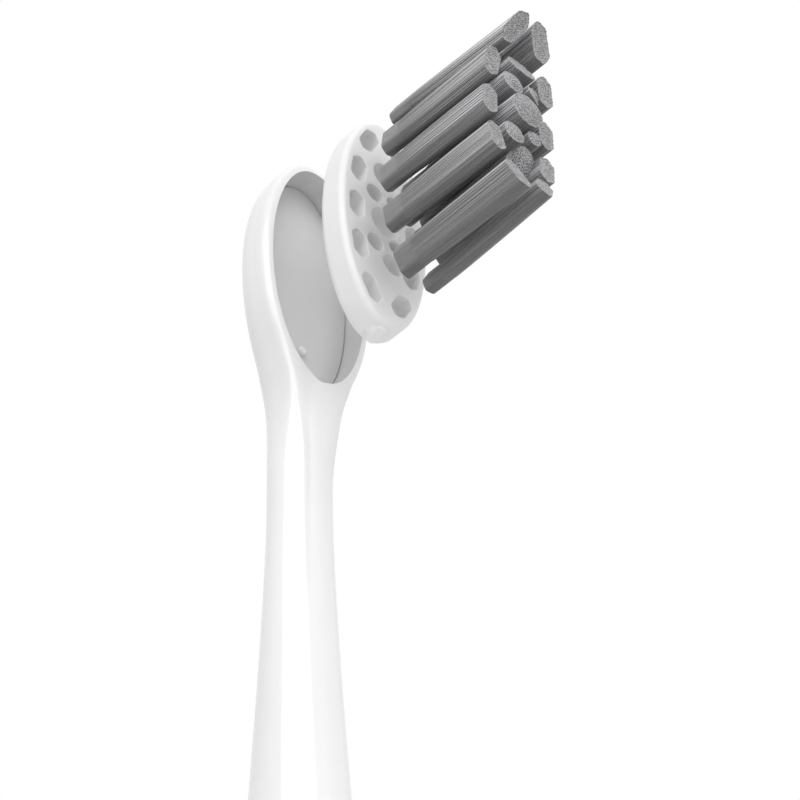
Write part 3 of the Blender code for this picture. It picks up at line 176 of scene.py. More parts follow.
TIP_DROPS = {
    "tuft_centre_lower": 0.45 * MM,
    "tuft_inner_left_upper": 0.40 * MM,
    "tuft_inner_left_lower": 0.40 * MM,
}
TUFT_SWELLS = {
    "tuft_centre_middle": 0.11,
    "tuft_left_3": 0.04,
    "tuft_left_4": 0.04,
}
TIP_SHIFTS = {
    "tuft_left_1": (0.25 * MM, -0.20 * MM, 0.50 * MM),
    "tuft_left_3": (0, -0.15 * MM, 0),
    "tuft_centre_middle": (0, 0, 0.25 * MM),
    "tuft_right_1": (-0.10 * MM, 0.05 * MM, 0.45 * MM),
    "tuft_right_2": (0, 0.15 * MM, 0.35 * MM),
    "tuft_right_5": (-0.25 * MM, 0.45 * MM, 0),
}

# Points round and along the fine meshes. Each span of the head's section is its first and last
# angle in degrees, and its steps
OVAL_STEPS = 160
ROUND_STEPS = 64
OUTLINE_STEPS = 44
ROD_ROUND_STEPS = 6
RECESS_ROUND_STEPS = 5
RIM_FLARE_STEP = math.radians(15)
PLATE_CHAMFER_STEPS = 4
PLATE_ROUND_STEPS = 8
HOLE_ROUND_STEPS = 3
SECTION_SPANS = ((-90, 8, 56), (8, 60, 64), (60, 90, 8))
STATION_STEP = 0.5 * MM
TIP_STATIONS = 56
LAST_STATION_TURN = math.radians(89.8)
SAME_POINT = 0.001 * MM
SMOOTH_ANGLE = math.radians(31)

# The values between which most of a noise texture lies
NOISE_SPAN = (0.3, 0.7)

# Bristle shades: dark and light streaks at the root and at the tip, where the light tip streaks are
# painted light that shows on faces that look up; the painted shade of a face that looks straight
# down; the heights of a face's direction between which the painted shade and the painted light fade
# in; and how much of the tips' painted light the lowest tuft has
FILAMENT_GREYS_AND_PAINTED_LIGHT = ((0.22, 0.29), (0.70, 0.97))
PAINTED_UNDERSIDE_SHADE = 0.55
PAINTED_SHADE_FADE = (-0.95, -0.3)
PAINTED_LIGHT_FADE = (-0.45, 0.05)
LOW_TUFT_PAINTED_LIGHT = 0.45

# Camera, at the photograph's angle
CAMERA_TURN = math.radians(44.262)
CAMERA_RISE = math.radians(44.186)
CAMERA_ROLL = math.radians(-1.562)
CAMERA_DISTANCE = 300.0 * MM
CAMERA_LENS = 166.3
CAMERA_SENSOR = 36.0
AIM_RIGHT = 6.510 * MM
AIM_DOWN = 10.193 * MM

# Studio: strength of the world, and the floor's half width, shares of its plain white near the
# object and far away, and distances between which it fades, in metres
WORLD_LIGHT = 0.58
FLOOR_HALF_WIDTH = 3.0
FLOOR_GLOW_SHARES = (0.6, 1.0)
FLOOR_FADE = (0.3, 1.2)

# Each light's turn and rise from the head in degrees, width and height in metres, and watts
LIGHT_DISTANCE = 1.0
LIGHTS = {
    "key_light": (5, 43, 1.05, 0.40, 3.5),
    "low_light": (-12, 24, 1.25, 0.31, 2.4),
    "front_light": (55, 22, 1.1, 0.8, 1.3),
    "side_light": (100, 30, 1.0, 0.8, 0.4),
}

RIM_Y = -AXIS_BEHIND_RIM
CARRIER_HALF_WIDTH = RECESS_HALF_WIDTH - CARRIER_GAP
CARRIER_HALF_LENGTH = RECESS_HALF_LENGTH - CARRIER_GAP
RECESS_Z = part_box("bristle_carrier")[1].z - CARRIER_HALF_LENGTH
HEAD_BASE_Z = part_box("head_shell")[0].z
NECK_LENGTH = RECESS_Z - HEAD_BASE_Z
CARRIER_BACK_N = RIM_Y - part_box("bristle_carrier")[1].y
CARRIER_FRONT_N = CARRIER_BACK_N + CARRIER_THICKNESS
BOWL_HALF_LENGTH = RECESS_HALF_LENGTH + TIP_WALL


def smooth_step(share):
    share = min(max(share, 0), 1)
    return share * share * (3 - 2 * share)


def smooth_min(a, b, reach):
    """The smaller of two heights, rounded where they are within a reach of each other."""
    share = min(max(0.5 + 0.5 * (b - a) / reach, 0), 1)
    return b + (a - b) * share - reach * share * (1 - share)


def signed_power(value, power):
    return math.copysign(abs(value) ** power, value)


def head_place(u, v, n):
    """A point of the brush head in the frame's coordinates."""
    return (u, RIM_Y - n, RECESS_Z + v)


# Meshes


class Net:
    """Points and faces of a mesh, added ring by ring."""

    def __init__(self):
        self.points = []
        self.faces = []
        self.kinds = []

    def ring(self, points):
        start = len(self.points)
        self.points.extend(points)
        return list(range(start, len(self.points)))

    def wall(self, lower, upper, kind=0):
        for i in range(len(lower)):
            j = (i + 1) % len(lower)
            self.faces.append((lower[i], lower[j], upper[j], upper[i]))
            self.kinds.append(kind)

    def cap(self, ring, kind=0):
        self.faces.append(tuple(ring))
        self.kinds.append(kind)

    def loft(self, rings, kind=0):
        made = [self.ring(points) for points in rings]
        self.cap(list(reversed(made[0])), kind)
        for lower, upper in zip(made, made[1:]):
            self.wall(lower, upper, kind)
        self.cap(made[-1], kind)

    def mesh(self, name):
        mesh = bpy.data.meshes.new(name)
        mesh.from_pydata(self.points, [], self.faces)
        mesh.polygons.foreach_set("material_index", self.kinds)
        tidy_mesh(mesh)
        return mesh


def join_corners(mesh):
    bm = bmesh.new()
    bm.from_mesh(mesh)
    bmesh.ops.remove_doubles(bm, verts=bm.verts, dist=SAME_POINT)
    bm.to_mesh(mesh)
    bm.free()


def tidy_mesh(mesh):
    """Faces point out, and edges under the smooth angle are shaded smooth."""
    bm = bmesh.new()
    bm.from_mesh(mesh)
    bmesh.ops.recalc_face_normals(bm, faces=bm.faces)
    bm.to_mesh(mesh)
    bm.free()
    mesh.shade_smooth()
    mesh.set_sharp_from_angle(angle=SMOOTH_ANGLE)


def new_object(name, mesh, *materials):
    obj = bpy.data.objects.new(name, mesh)
    bpy.context.scene.collection.objects.link(obj)
    for material in materials:
        mesh.materials.append(material)
    return obj


def dress(obj, node):
    """Puts a fine piece in the place of a CAD node, on the body that carries the node."""
    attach(obj, frame["nodes"][node]["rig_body"])
    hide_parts(node)
    return obj


def weigh_normals(target):
    """Large faces keep their own direction where they meet small round ones."""
    modifier = target.modifiers.new("weighted normals", "WEIGHTED_NORMAL")
    modifier.keep_sharp = True
    apply_modifiers(target)


def apply_modifiers(target):
    bpy.context.view_layer.update()
    evaluated = target.evaluated_get(bpy.context.evaluated_depsgraph_get())
    mesh = bpy.data.meshes.new_from_object(evaluated)
    target.modifiers.clear()
    target.data = mesh
    mesh.name = target.name


def carve(target, steps):
    """Cuts or joins other objects into the target, and leaves one plain mesh."""
    for other, operation in steps:
        modifier = target.modifiers.new(operation.lower(), "BOOLEAN")
        modifier.operation = operation
        modifier.solver = "EXACT"
        modifier.object = other
    apply_modifiers(target)
    for other, _ in steps:
        bpy.data.objects.remove(other, do_unlink=True)
    tidy_mesh(target.data)
    weigh_normals(target)


def oval(half_width, half_length):
    turns = [math.tau * (i + 1 / 2) / OVAL_STEPS for i in range(OVAL_STEPS)]
    return [(half_width * math.cos(turn), half_length * math.sin(turn)) for turn in turns]


def circle(radius, centre=(0, 0), steps=ROUND_STEPS):
    turns = [math.tau * (i + 1 / 2) / steps for i in range(steps)]
    return [(centre[0] + radius * math.cos(t), centre[1] + radius * math.sin(t)) for t in turns]


def head_ring(outline, n):
    return [head_place(u, v, n) for u, v in outline]


def rounded_rod(name, radius, centre, low, high, rounding):
    """A round peg along n whose front end is rounded."""
    levels = [(radius, low)]
    for i in range(ROD_ROUND_STEPS + 1):
        turn = math.pi / 2 * i / ROD_ROUND_STEPS
        levels.append((radius - rounding * (1 - math.cos(turn)),
                       high - rounding * (1 - math.sin(turn))))
    net = Net()
    net.loft([head_ring(circle(size, centre), n) for size, n in levels])
    return new_object(name, net.mesh(name))


# White head


def neck_radius(v):
    share = max(0, (-v - WAIST_BELOW_RECESS) / (NECK_LENGTH - WAIST_BELOW_RECESS))
    return NECK_WAIST_RADIUS + (NECK_BASE_RADIUS - NECK_WAIST_RADIUS) * share**NECK_GROWTH_POWER


def bowl_half_width(v):
    """Half the width of the head across u at v."""
    width = RECESS_HALF_WIDTH + SIDE_WALL
    bowl = width * math.sqrt(max(0, 1 - (v / BOWL_HALF_LENGTH) ** 2))
    below = min(v, 0)
    flare = FLARE_SIZE / math.cosh((below + FLARE_BELOW_RECESS) / FLARE_SPREAD)
    neck = neck_radius(below) + flare
    power = BOWL_NECK_POWER
    if v < 0:
        return (bowl**power + neck**power) ** (1 / power)
    return bowl * (1 + (neck / width) ** power) ** (1 / power)


def section_turns():
    """Angles round the head's section, closest together where the rim turns over."""
    turns = []
    for low, high, steps in SECTION_SPANS:
        turns += [math.radians(low + (high - low) * i / steps) for i in range(steps)]
    mirrored = [math.pi - turn for turn in reversed(turns[1:])]
    return turns + [math.pi / 2] + mirrored


def neck_shares(v):
    """The neck's width and depth as shares of a round neck's: round at its foot, flatter above."""
    rise = smooth_step((v + NECK_LENGTH) / (NECK_LENGTH - WAIST_BELOW_RECESS))
    flat = 1 + (NECK_DEPTH_SHARE - 1) * rise
    wide = math.sqrt(2 / (1 + flat * flat))
    return wide, wide * flat


def head_section(v, turns):
    """Ring of points round the head at v: an oval in the neck, a bowl with a rounded rim above."""
    blend = smooth_step((v + BLEND_BELOW_RECESS) / BLEND_LENGTH)
    above = max(v, 0) / BOWL_HALF_LENGTH
    rim_depth = RIM_FULL_DEPTH * max(0, 1 - above**RIM_TIP_POWER) ** (1 / RIM_POWER)
    back_depth = BOWL_HALF_DEPTH * math.sqrt(max(0, 1 - above**BOWL_TIP_POWER))
    half_width = bowl_half_width(v)
    wide, deep = neck_shares(v)
    half_depth = neck_radius(v) * deep
    points = []
    for turn in turns:
        across, along = math.cos(turn), math.sin(turn)
        power, depth = (RIM_POWER, rim_depth) if along > 0 else (BOWL_POWER, back_depth)
        bowl_u = half_width * signed_power(across, 2 / power)
        bowl_n = depth * signed_power(along, 2 / power) - BOWL_CENTRE_DEPTH
        bowl_n = smooth_min(bowl_n, 0, RIM_ROUND)
        neck_u = half_width * wide * across
        neck_n = half_depth * along - AXIS_BEHIND_RIM
        u = neck_u + (bowl_u - neck_u) * blend
        n = neck_n + (bowl_n - neck_n) * blend
        points.append(head_place(u, v, n))
    return points


def head_stations():
    """Heights v of the head's sections, from the top of the spigot to the tip."""
    low = -NECK_LENGTH + SPIGOT_LENGTH
    steps = round(-low / STATION_STEP)
    stations = [low * (1 - i / steps) for i in range(steps)]
    for i in range(TIP_STATIONS):
        stations.append(BOWL_HALF_LENGTH * math.sin(math.pi / 2 * i / TIP_STATIONS))
    stations.append(BOWL_HALF_LENGTH * math.sin(LAST_STATION_TURN))
    return stations


def recess_cutter(materials):
    """The recess's space: a fine groove round its floor, and a fine flare at its rim."""
    levels = [(-GROOVE_WIDTH, -RECESS_DEPTH), (-GROOVE_WIDTH, -RECESS_DEPTH - GROOVE_DEPTH)]
    for i in range(RECESS_ROUND_STEPS + 1):
        turn = math.pi / 2 * i / RECESS_ROUND_STEPS
        levels.append((RECESS_CORNER * (math.sin(turn) - 1),
                       RECESS_CORNER * (1 - math.cos(turn)) - RECESS_DEPTH - GROOVE_DEPTH))
    for i in range(RECESS_ROUND_STEPS + 1):
        turn = RIM_FLARE_STEP * i
        levels.append((RIM_FLARE * (1 - math.cos(turn)), RIM_FLARE * (math.sin(turn) - 1)))
    levels.append((levels[-1][0], CUT_OVERRUN))
    net = Net()
    # Its faces take the head's second material, the recess's white with painted shade.
    net.loft([head_ring(oval(RECESS_HALF_WIDTH + out, RECESS_HALF_LENGTH + out), n)
              for out, n in levels], kind=1)
    return new_object("recess_cutter", net.mesh("recess_cutter"), *materials)


def key_centre():
    return (0, -CARRIER_HALF_LENGTH - KEY_REACH + KEY_RADIUS)


def spigot_ring(v, turns):
    return [head_place(SPIGOT_RADIUS * math.cos(turn), v,
                       SPIGOT_RADIUS * math.sin(turn) - AXIS_BEHIND_RIM) for turn in turns]


def neck_bore():
    net = Net()
    net.loft([[(x, y, HEAD_BASE_Z + z) for x, y in circle(NECK_BORE_RADIUS)]
              for z in (-CUT_OVERRUN, NECK_BORE_DEPTH)])
    return new_object("neck_bore", net.mesh("neck_bore"))


def key_notch():
    return rounded_rod("key_notch", KEY_RADIUS + KEY_GAP, key_centre(), -RECESS_DEPTH, CUT_OVERRUN,
                       KEY_ROUND)


def recess_pin():
    return rounded_rod("recess_pin", PIN_RADIUS, (0, -PIN_BELOW_CENTRE), -RECESS_DEPTH - PIN_HEIGHT,
                       -RECESS_DEPTH + PIN_HEIGHT, PIN_RADIUS / 2)


def fine_head(materials):
    """The neck and bowl in one moulding, polished outside and satin with painted shade in its
    recess.
    """
    turns = section_turns()
    net = Net()
    net.loft([spigot_ring(v, turns) for v in (-NECK_LENGTH, -NECK_LENGTH + SPIGOT_LENGTH)]
             + [head_section(v, turns) for v in head_stations()])
    head = new_object("head_moulding", net.mesh("head_moulding"), *materials)
    carve(head, [(neck_bore(), "DIFFERENCE"), (recess_cutter(materials), "DIFFERENCE"),
                 (key_notch(), "DIFFERENCE"), (recess_pin(), "UNION")])
    return dress(head, "head_shell")


# Tufts


def grown(outline, gap):
    """A convex outline moved outwards by a gap, or inwards by a gap below zero."""
    points = []
    count = len(outline)
    for i, (x, y) in enumerate(outline):
        normals = []
        for a, b in ((outline[i - 1], (x, y)), ((x, y), outline[(i + 1) % count])):
            edge = math.hypot(b[0] - a[0], b[1] - a[1])
            normals.append(((b[1] - a[1]) / edge, (a[0] - b[0]) / edge))
        (ax, ay), (bx, by) = normals
        share = gap / (1 + ax * bx + ay * by)
        points.append((x + (ax + bx) * share, y + (ay + by) * share))
    return points


def softened(outline, reach):
    """A convex outline with its corners cut twice over, which rounds them."""
    for cut_pass in range(2):
        points = []
        for (ax, ay), (bx, by) in zip(outline, outline[1:] + outline[:1]):
            share = min(reach / math.hypot(bx - ax, by - ay), 1 / 4)
            points.append((ax + (bx - ax) * share, ay + (by - ay) * share))
            points.append((bx - (bx - ax) * share, by - (by - ay) * share))
        outline = points
    return outline


def inside(outline, x, y, margin):
    for (x0, y0), (x1, y1) in zip(outline, outline[1:] + outline[:1]):
        edge = math.hypot(x1 - x0, y1 - y0)
        if ((x1 - x0) * (y - y0) - (y1 - y0) * (x - x0)) / edge < margin:
            return False
    return True


class TuftPlan:
    """A tuft's outline, place and tip surface, all read from its CAD node."""

    def __init__(self, node):
        self.node = node
        points = np.array([v.co for v in frame["nodes"][node].data.vertices], float)
        self.back_y = points[:, 1].max()
        u = points[:, 0]
        v = points[:, 2] - RECESS_Z
        back = points[:, 1] > self.back_y - STRAND_RADIUS
        corners = sorted({(round(a, 7), round(b, 7)) for a, b in zip(u[back], v[back])})
        self.centre = tuple(np.mean(corners, axis=0))
        corners.sort(key=lambda p: math.atan2(p[1] - self.centre[1], p[0] - self.centre[0]))
        if node.startswith(("tuft_centre", "tuft_inner")):
            reach = np.mean([math.dist(p, self.centre) for p in corners])
            radius = reach * (1 + math.cos(math.pi / len(corners))) / 2
            self.outline = circle(radius, self.centre, OUTLINE_STEPS)
            self.hole = self.outline
        else:
            self.outline = softened(corners, ROOT_CORNER_REACH)
            self.hole = softened(corners, HOLE_CORNER_REACH)
        self.shift = TIP_SHIFTS.get(node, (0, 0, 0))
        self.swell = TUFT_SWELLS.get(node, 0)
        ends = points[:, 1] < self.back_y - ROOT_LENGTH * 3
        heights = RIM_Y - points[ends, 1]
        self.fit = np.linalg.lstsq(self.basis(u[ends], v[ends]), heights, rcond=None)[0]
        radius = max(math.dist(p, self.centre) for p in self.outline)
        self.growth = TIP_RADII.get(node, radius * (1 + SPREAD_SHARE)) / radius
        if node in TIP_SLOPE_SHARES:
            self.fit[1:3] = TIP_SLOPE_SHARES[node]
        if node in TIP_DROPS:
            self.fit[3] = -TIP_DROPS[node] / TIP_RADII[node] ** 2

    def basis(self, u, v):
        du = np.asarray(u) - self.centre[0]
        dv = np.asarray(v) - self.centre[1]
        return np.stack([np.ones_like(du), du, dv, du * du + dv * dv], axis=-1)

    def tip(self, u, v):
        """Height n of the cut end at a place."""
        return float(self.basis(u - self.shift[0], v - self.shift[1]) @ self.fit) + self.shift[2]

    def edge_feet(self):
        """Places of the strands in an even row round the edge."""
        edge = grown(self.outline, -STRAND_RADIUS)
        lengths = [math.dist(a, b) for a, b in zip(edge, edge[1:] + edge[:1])]
        count = round(sum(lengths) / EDGE_PITCH)
        feet = []
        for k in range(count):
            left = sum(lengths) * k / count
            i = 0
            while left > lengths[i]:
                left -= lengths[i]
                i += 1
            share = left / lengths[i]
            a, b = edge[i], edge[(i + 1) % len(edge)]
            feet.append((a[0] + (b[0] - a[0]) * share, a[1] + (b[1] - a[1]) * share))
        return feet

    def inner_feet(self, random_source):
        """Places of the strands in a loose grid within the row."""
        feet = []
        row_step = STRAND_PITCH * math.sqrt(3) / 2
        margin = STRAND_RADIUS + row_step
        reach = max(math.dist(p, self.centre) for p in grown(self.outline, -STRAND_RADIUS))
        rows = int(reach / row_step) + 1
        columns = int(reach / STRAND_PITCH) + 1
        for row in range(-rows, rows + 1):
            for column in range(-columns, columns + 1):
                x = self.centre[0] + row * row_step
                y = self.centre[1] + (column + (row % 2) / 2) * STRAND_PITCH
                if inside(self.outline, x, y, margin):
                    x += random_source.uniform(-STRAND_JITTER, STRAND_JITTER)
                    y += random_source.uniform(-STRAND_JITTER, STRAND_JITTER)
                    feet.append((x, y))
        return feet

    def path(self, foot, end, share):
        """A strand's place on its way to its end: it spreads out early and shifts evenly."""
        ease = share**SPREAD_EASE_SHARE
        swell = self.swell * math.sin(math.pi * share)
        return [f + (e - f - s) * ease + s * share + (f - c) * swell
                for f, e, s, c in zip(foot, end, self.shift, self.centre)]

    def spread(self, place):
        """Where a strand's foot comes out at the tip."""
        return [c + (p - c) * self.growth + s for p, c, s in zip(place, self.centre, self.shift)]


def strand_ring(place, n, turn, radius=STRAND_RADIUS):
    turns = [turn + math.tau * i / STRAND_SIDES for i in range(STRAND_SIDES)]
    return [head_place(place[0] + radius * math.cos(t), place[1] + radius * math.sin(t), n)
            for t in turns]


def add_strand(net, path, foot_n, free_n, tip_n, turn, bend):
    """One filament: a thin tube that leans outwards above its root and ends in a small dome."""
    rings = [strand_ring(path(0), foot_n, turn)]
    for share in STRAND_RING_SHARES:
        arch = math.sin(math.pi * share)
        place = [p + b * arch for p, b in zip(path(share), bend)]
        rings.append(strand_ring(place, free_n + (tip_n - free_n) * share, turn))
    rings.append(strand_ring(path(1), tip_n + STRAND_RADIUS * STRAND_CROWN_SHARE, turn,
                             STRAND_RADIUS * STRAND_DOME_SHARE))
    made = [net.ring(points) for points in rings]
    for lower, upper in zip(made, made[1:-1]):
        net.wall(lower, upper)
    net.wall(made[-2], made[-1], kind=2)
    net.cap(made[-1], kind=2)
    net.cap(list(reversed(made[0])))


def add_core(net, plan, foot_n, free_n):
    """The solid middle that the row of strands lies round, just below their ends."""
    core = grown(plan.outline, -CORE_INSET)
    ends = [plan.spread(place) for place in core]
    made = [net.ring(head_ring(core, foot_n))]
    for share in STRAND_RING_SHARES:
        points = []
        for foot, end in zip(core, ends):
            top = plan.tip(*end) - CORE_BELOW_TIP
            points.append(head_place(*plan.path(foot, end, share), free_n + (top - free_n) * share))
        made.append(net.ring(points))
    for lower, upper in zip(made, made[1:]):
        net.wall(lower, upper)
    middle = [c + s for c, s in zip(plan.centre, plan.shift)]
    for share in CORE_RING_SHARES:
        points = []
        for u1, v1 in ends:
            u = middle[0] + (u1 - middle[0]) * share
            v = middle[1] + (v1 - middle[1]) * share
            points.append(head_place(u, v, plan.tip(u, v) - CORE_BELOW_TIP))
        inner = net.ring(points)
        net.wall(made[-1], inner, kind=2)
        made.append(inner)
    net.cap(made[-1], kind=2)
    net.cap(list(reversed(made[0])))


def fine_tuft(plan, filament, root, cut_end):
    """A tuft: its fused root, a row of strands round a core, and the cut ends of those inside."""
    source = random.Random(plan.node)
    back_n = RIM_Y - plan.back_y
    front_n = back_n + ROOT_LENGTH
    foot_n = front_n - STRAND_DEPTH
    inner_feet = plan.inner_feet(source)
    net = Net()
    for place in plan.edge_feet() + inner_feet:
        end = [e + source.uniform(-STRAND_JITTER, STRAND_JITTER) / 2 for e in plan.spread(place)]
        tip_n = plan.tip(*end) + source.uniform(-TIP_SCATTER, TIP_SCATTER)
        bend = [source.uniform(-STRAND_DRIFT, STRAND_DRIFT) for axis in range(2)]
        turn = source.uniform(0, math.tau)
        if place in inner_feet:
            add_strand(net, lambda share: end, tip_n - STUB_LENGTH, tip_n - STUB_LENGTH / 2, tip_n,
                       turn, (0, 0))
        else:
            add_strand(net, lambda share: plan.path(place, end, share), foot_n, front_n, tip_n,
                       turn, bend)
    add_core(net, plan, foot_n, front_n)
    rings = [(-ROOT_ROUND, back_n), (0, back_n + ROOT_ROUND), (0, front_n - ROOT_FADE),
             (-STRAND_RADIUS, front_n + ROOT_FADE)]
    net.loft([head_ring(grown(plan.outline, out), n) for out, n in rings], kind=1)
    name = plan.node.replace("tuft", "bristles")
    tuft = new_object(name, net.mesh(plan.node), filament, root, cut_end)
    return dress(tuft, plan.node)


# Bristle carrier


def key_boss():
    """A round bar along v that gives the key its round outline from below."""
    net = Net()
    middle = CARRIER_BACK_N + CARRIER_THICKNESS / 2
    net.loft([[head_place(u, v, n) for u, n in circle(KEY_BOSS_RADIUS, (0, middle))]
              for v in (key_centre()[1], key_centre()[1] - KEY_RADIUS * 2)])
    return new_object("key_boss", net.mesh("key_boss"))


def carrier_key():
    low = CARRIER_BACK_N + CARRIER_BACK_CHAMFER / 2
    high = CARRIER_BACK_N + KEY_TOP
    key = rounded_rod("carrier_key", KEY_RADIUS, key_centre(), low, high, KEY_ROUND)
    carve(key, [(key_boss(), "INTERSECT")])
    return key


def pin_hole():
    return rounded_rod("pin_hole", PIN_RADIUS + PIN_HOLE_GAP, (0, -PIN_BELOW_CENTRE),
                       CARRIER_BACK_N - CUT_OVERRUN, CARRIER_BACK_N + PIN_HEIGHT + PIN_HOLE_GAP,
                       PIN_RADIUS / 2)


def plate_edge():
    """Rings round the plate's edge, from its back to its front."""
    levels = []
    for i in range(PLATE_CHAMFER_STEPS + 1):
        share = i / PLATE_CHAMFER_STEPS
        levels.append((CARRIER_BACK_CHAMFER * (share - 1) / 2,
                       CARRIER_BACK_N + CARRIER_BACK_CHAMFER * share))
    for i in range(PLATE_ROUND_STEPS + 1):
        turn = math.pi / 2 * i / PLATE_ROUND_STEPS
        levels.append((CARRIER_FRONT_ROUND * (math.cos(turn) - 1),
                       CARRIER_FRONT_N + CARRIER_FRONT_ROUND * (math.sin(turn) - 1)))
    return [head_ring(oval(CARRIER_HALF_WIDTH + out, CARRIER_HALF_LENGTH + out), n)
            for out, n in levels]


def plate_hole(outline):
    """Rings of a tuft's hole, which opens out a little at the front."""
    rings = [head_ring(grown(outline, TUFT_GAP), CARRIER_BACK_N)]
    for i in range(HOLE_ROUND_STEPS + 1):
        turn = math.pi / 2 * i / HOLE_ROUND_STEPS
        rings.append(head_ring(grown(outline, TUFT_GAP + HOLE_ROUND * (1 - math.cos(turn))),
                               CARRIER_FRONT_N + HOLE_ROUND * (math.sin(turn) - 1)))
    return rings


def plate_mesh(plans):
    """The plate with its holes: walls through it, and a back and a front filled between them."""
    bm = bmesh.new()
    backs, fronts = [], []
    for rings in [plate_edge()] + [plate_hole(plan.hole) for plan in plans]:
        made = [[bm.verts.new(point) for point in ring] for ring in rings]
        for lower, upper in zip(made, made[1:]):
            for a, b, c, d in zip(lower, lower[1:] + lower[:1], upper[1:] + upper[:1], upper):
                bm.faces.new((a, b, c, d))
        for side, ring in ((backs, made[0]), (fronts, made[-1])):
            side.extend(bm.edges.get(pair) for pair in zip(ring, ring[1:] + ring[:1]))
    for boundary, normal in ((backs, (0, 1, 0)), (fronts, (0, -1, 0))):
        bmesh.ops.triangle_fill(bm, use_beauty=True, use_dissolve=False, edges=boundary,
                                normal=normal)
    mesh = bpy.data.meshes.new("carrier_plate")
    bm.to_mesh(mesh)
    bm.free()
    tidy_mesh(mesh)
    return mesh


def fine_carrier(plans, material):
    """The plate, with its edge rounded all round, a rounded hole for each tuft, and its key."""
    carrier = new_object("carrier_plate", plate_mesh(plans), material)
    carve(carrier, [(carrier_key(), "UNION"), (pin_hole(), "DIFFERENCE")])
    return dress(carrier, "bristle_carrier")


# Materials


class Finish:
    """A material whose colour, roughness and relief follow noise in the piece's own space."""

    def __init__(self, name, roughness, metallic=0.0, specular=0.5):
        self.material = bpy.data.materials.new(name)
        self.material.use_nodes = True
        self.nodes = self.material.node_tree.nodes
        self.links = self.material.node_tree.links
        self.shader = self.nodes["Principled BSDF"]
        self.shader.inputs["Roughness"].default_value = roughness
        self.shader.inputs["Metallic"].default_value = metallic
        self.shader.inputs["Specular IOR Level"].default_value = specular
        self.place = self.nodes.new("ShaderNodeTexCoord").outputs["Object"]

    def stretched(self, stretch):
        mapping = self.nodes.new("ShaderNodeMapping")
        mapping.inputs["Scale"].default_value = stretch
        self.links.new(self.place, mapping.inputs["Vector"])
        return mapping.outputs["Vector"]

    def noise(self, size, detail=2.0, stretch=(1, 1, 1)):
        """Noise whose patches are about a size across, shorter along an axis stretched by more."""
        noise = self.nodes.new("ShaderNodeTexNoise")
        noise.inputs["Scale"].default_value = 1 / size
        noise.inputs["Detail"].default_value = detail
        self.links.new(self.stretched(stretch), noise.inputs["Vector"])
        return noise.outputs["Fac"]

    def bands(self, size, axis):
        """Even ridges along an axis, a size apart."""
        wave = self.nodes.new("ShaderNodeTexWave")
        wave.wave_type = "BANDS"
        wave.bands_direction = axis
        wave.inputs["Scale"].default_value = 1 / (size * math.pi)
        self.links.new(self.place, wave.inputs["Vector"])
        return wave.outputs["Fac"]

    def spread(self, source, low, high, start=NOISE_SPAN[0], end=NOISE_SPAN[1]):
        """A source that runs from start to end, turned into one that runs from low to high."""
        spread = self.nodes.new("ShaderNodeMapRange")
        spread.inputs["From Min"].default_value = start
        spread.inputs["From Max"].default_value = end
        spread.inputs["To Min"].default_value = low
        spread.inputs["To Max"].default_value = high
        self.links.new(source, spread.inputs["Value"])
        return spread.outputs["Result"]

    def ramp(self, source, dark, light):
        ramp = self.nodes.new("ShaderNodeValToRGB")
        for element, position, colour in zip(ramp.color_ramp.elements, NOISE_SPAN, (dark, light)):
            element.position = position
            element.color = (*colour, 1)
        self.links.new(source, ramp.inputs["Fac"])
        return ramp.outputs["Color"]

    def colour(self, source, dark, light):
        self.links.new(self.ramp(source, dark, light), self.shader.inputs["Base Color"])

    def facing_up(self):
        """How far a face looks up, from minus one to one."""
        split = self.nodes.new("ShaderNodeSeparateXYZ")
        geometry = self.nodes.new("ShaderNodeNewGeometry")
        self.links.new(geometry.outputs["Normal"], split.inputs["Vector"])
        return split.outputs["Z"]

    def product(self, first, second):
        product = self.nodes.new("ShaderNodeMath")
        product.operation = "MULTIPLY"
        self.links.new(first, product.inputs[0])
        self.links.new(second, product.inputs[1])
        return product.outputs["Value"]

    def scaled_colour(self, colour, scale):
        scaled = self.nodes.new("ShaderNodeVectorMath")
        scaled.operation = "SCALE"
        self.links.new(colour, scaled.inputs["Vector"])
        self.links.new(scale, scaled.inputs["Scale"])
        self.links.new(scaled.outputs["Vector"], self.shader.inputs["Base Color"])

    def painted_shade_below(self, colour):
        """A colour with painted shade: darker on the faces that look down."""
        shade = self.spread(self.facing_up(), PAINTED_UNDERSIDE_SHADE, 1, *PAINTED_SHADE_FADE)
        self.scaled_colour(colour, shade)

    def roughness(self, source, low, high):
        self.links.new(self.spread(source, low, high), self.shader.inputs["Roughness"])

    def relief(self, source, depth):
        bump = self.nodes.new("ShaderNodeBump")
        bump.inputs["Distance"].default_value = depth
        self.links.new(source, bump.inputs["Height"])
        self.links.new(bump.outputs["Normal"], self.shader.inputs["Normal"])


def shades(colour, share):
    """A darker and a lighter shade of a colour."""
    return tuple(c * (1 - share) for c in colour), tuple(min(1, c * (1 + share)) for c in colour)


def moulded(name, colour, roughness, grain_depth, variation=0.015, specular=0.5):
    """Moulded plastic: a faint flow in its colour, and a fine grain in its surface."""
    finish = Finish(name, roughness, specular=specular)
    finish.colour(finish.noise(9 * MM), *shades(colour, variation))
    finish.roughness(finish.noise(1.6 * MM), roughness * 0.85, roughness * 1.15)
    finish.relief(finish.noise(0.4 * MM, detail=1), grain_depth)
    return finish.material


def metal(name, colour, roughness, stretch):
    """Ground or drawn metal, with fine lines across its working direction."""
    finish = Finish(name, roughness, metallic=1.0)
    lines = finish.noise(0.5 * MM, detail=4, stretch=stretch)
    finish.colour(finish.noise(2 * MM), *shades(colour, 0.08))
    finish.roughness(lines, roughness * 0.7, roughness * 1.3)
    finish.relief(lines, 0.004 * MM)
    return finish.material


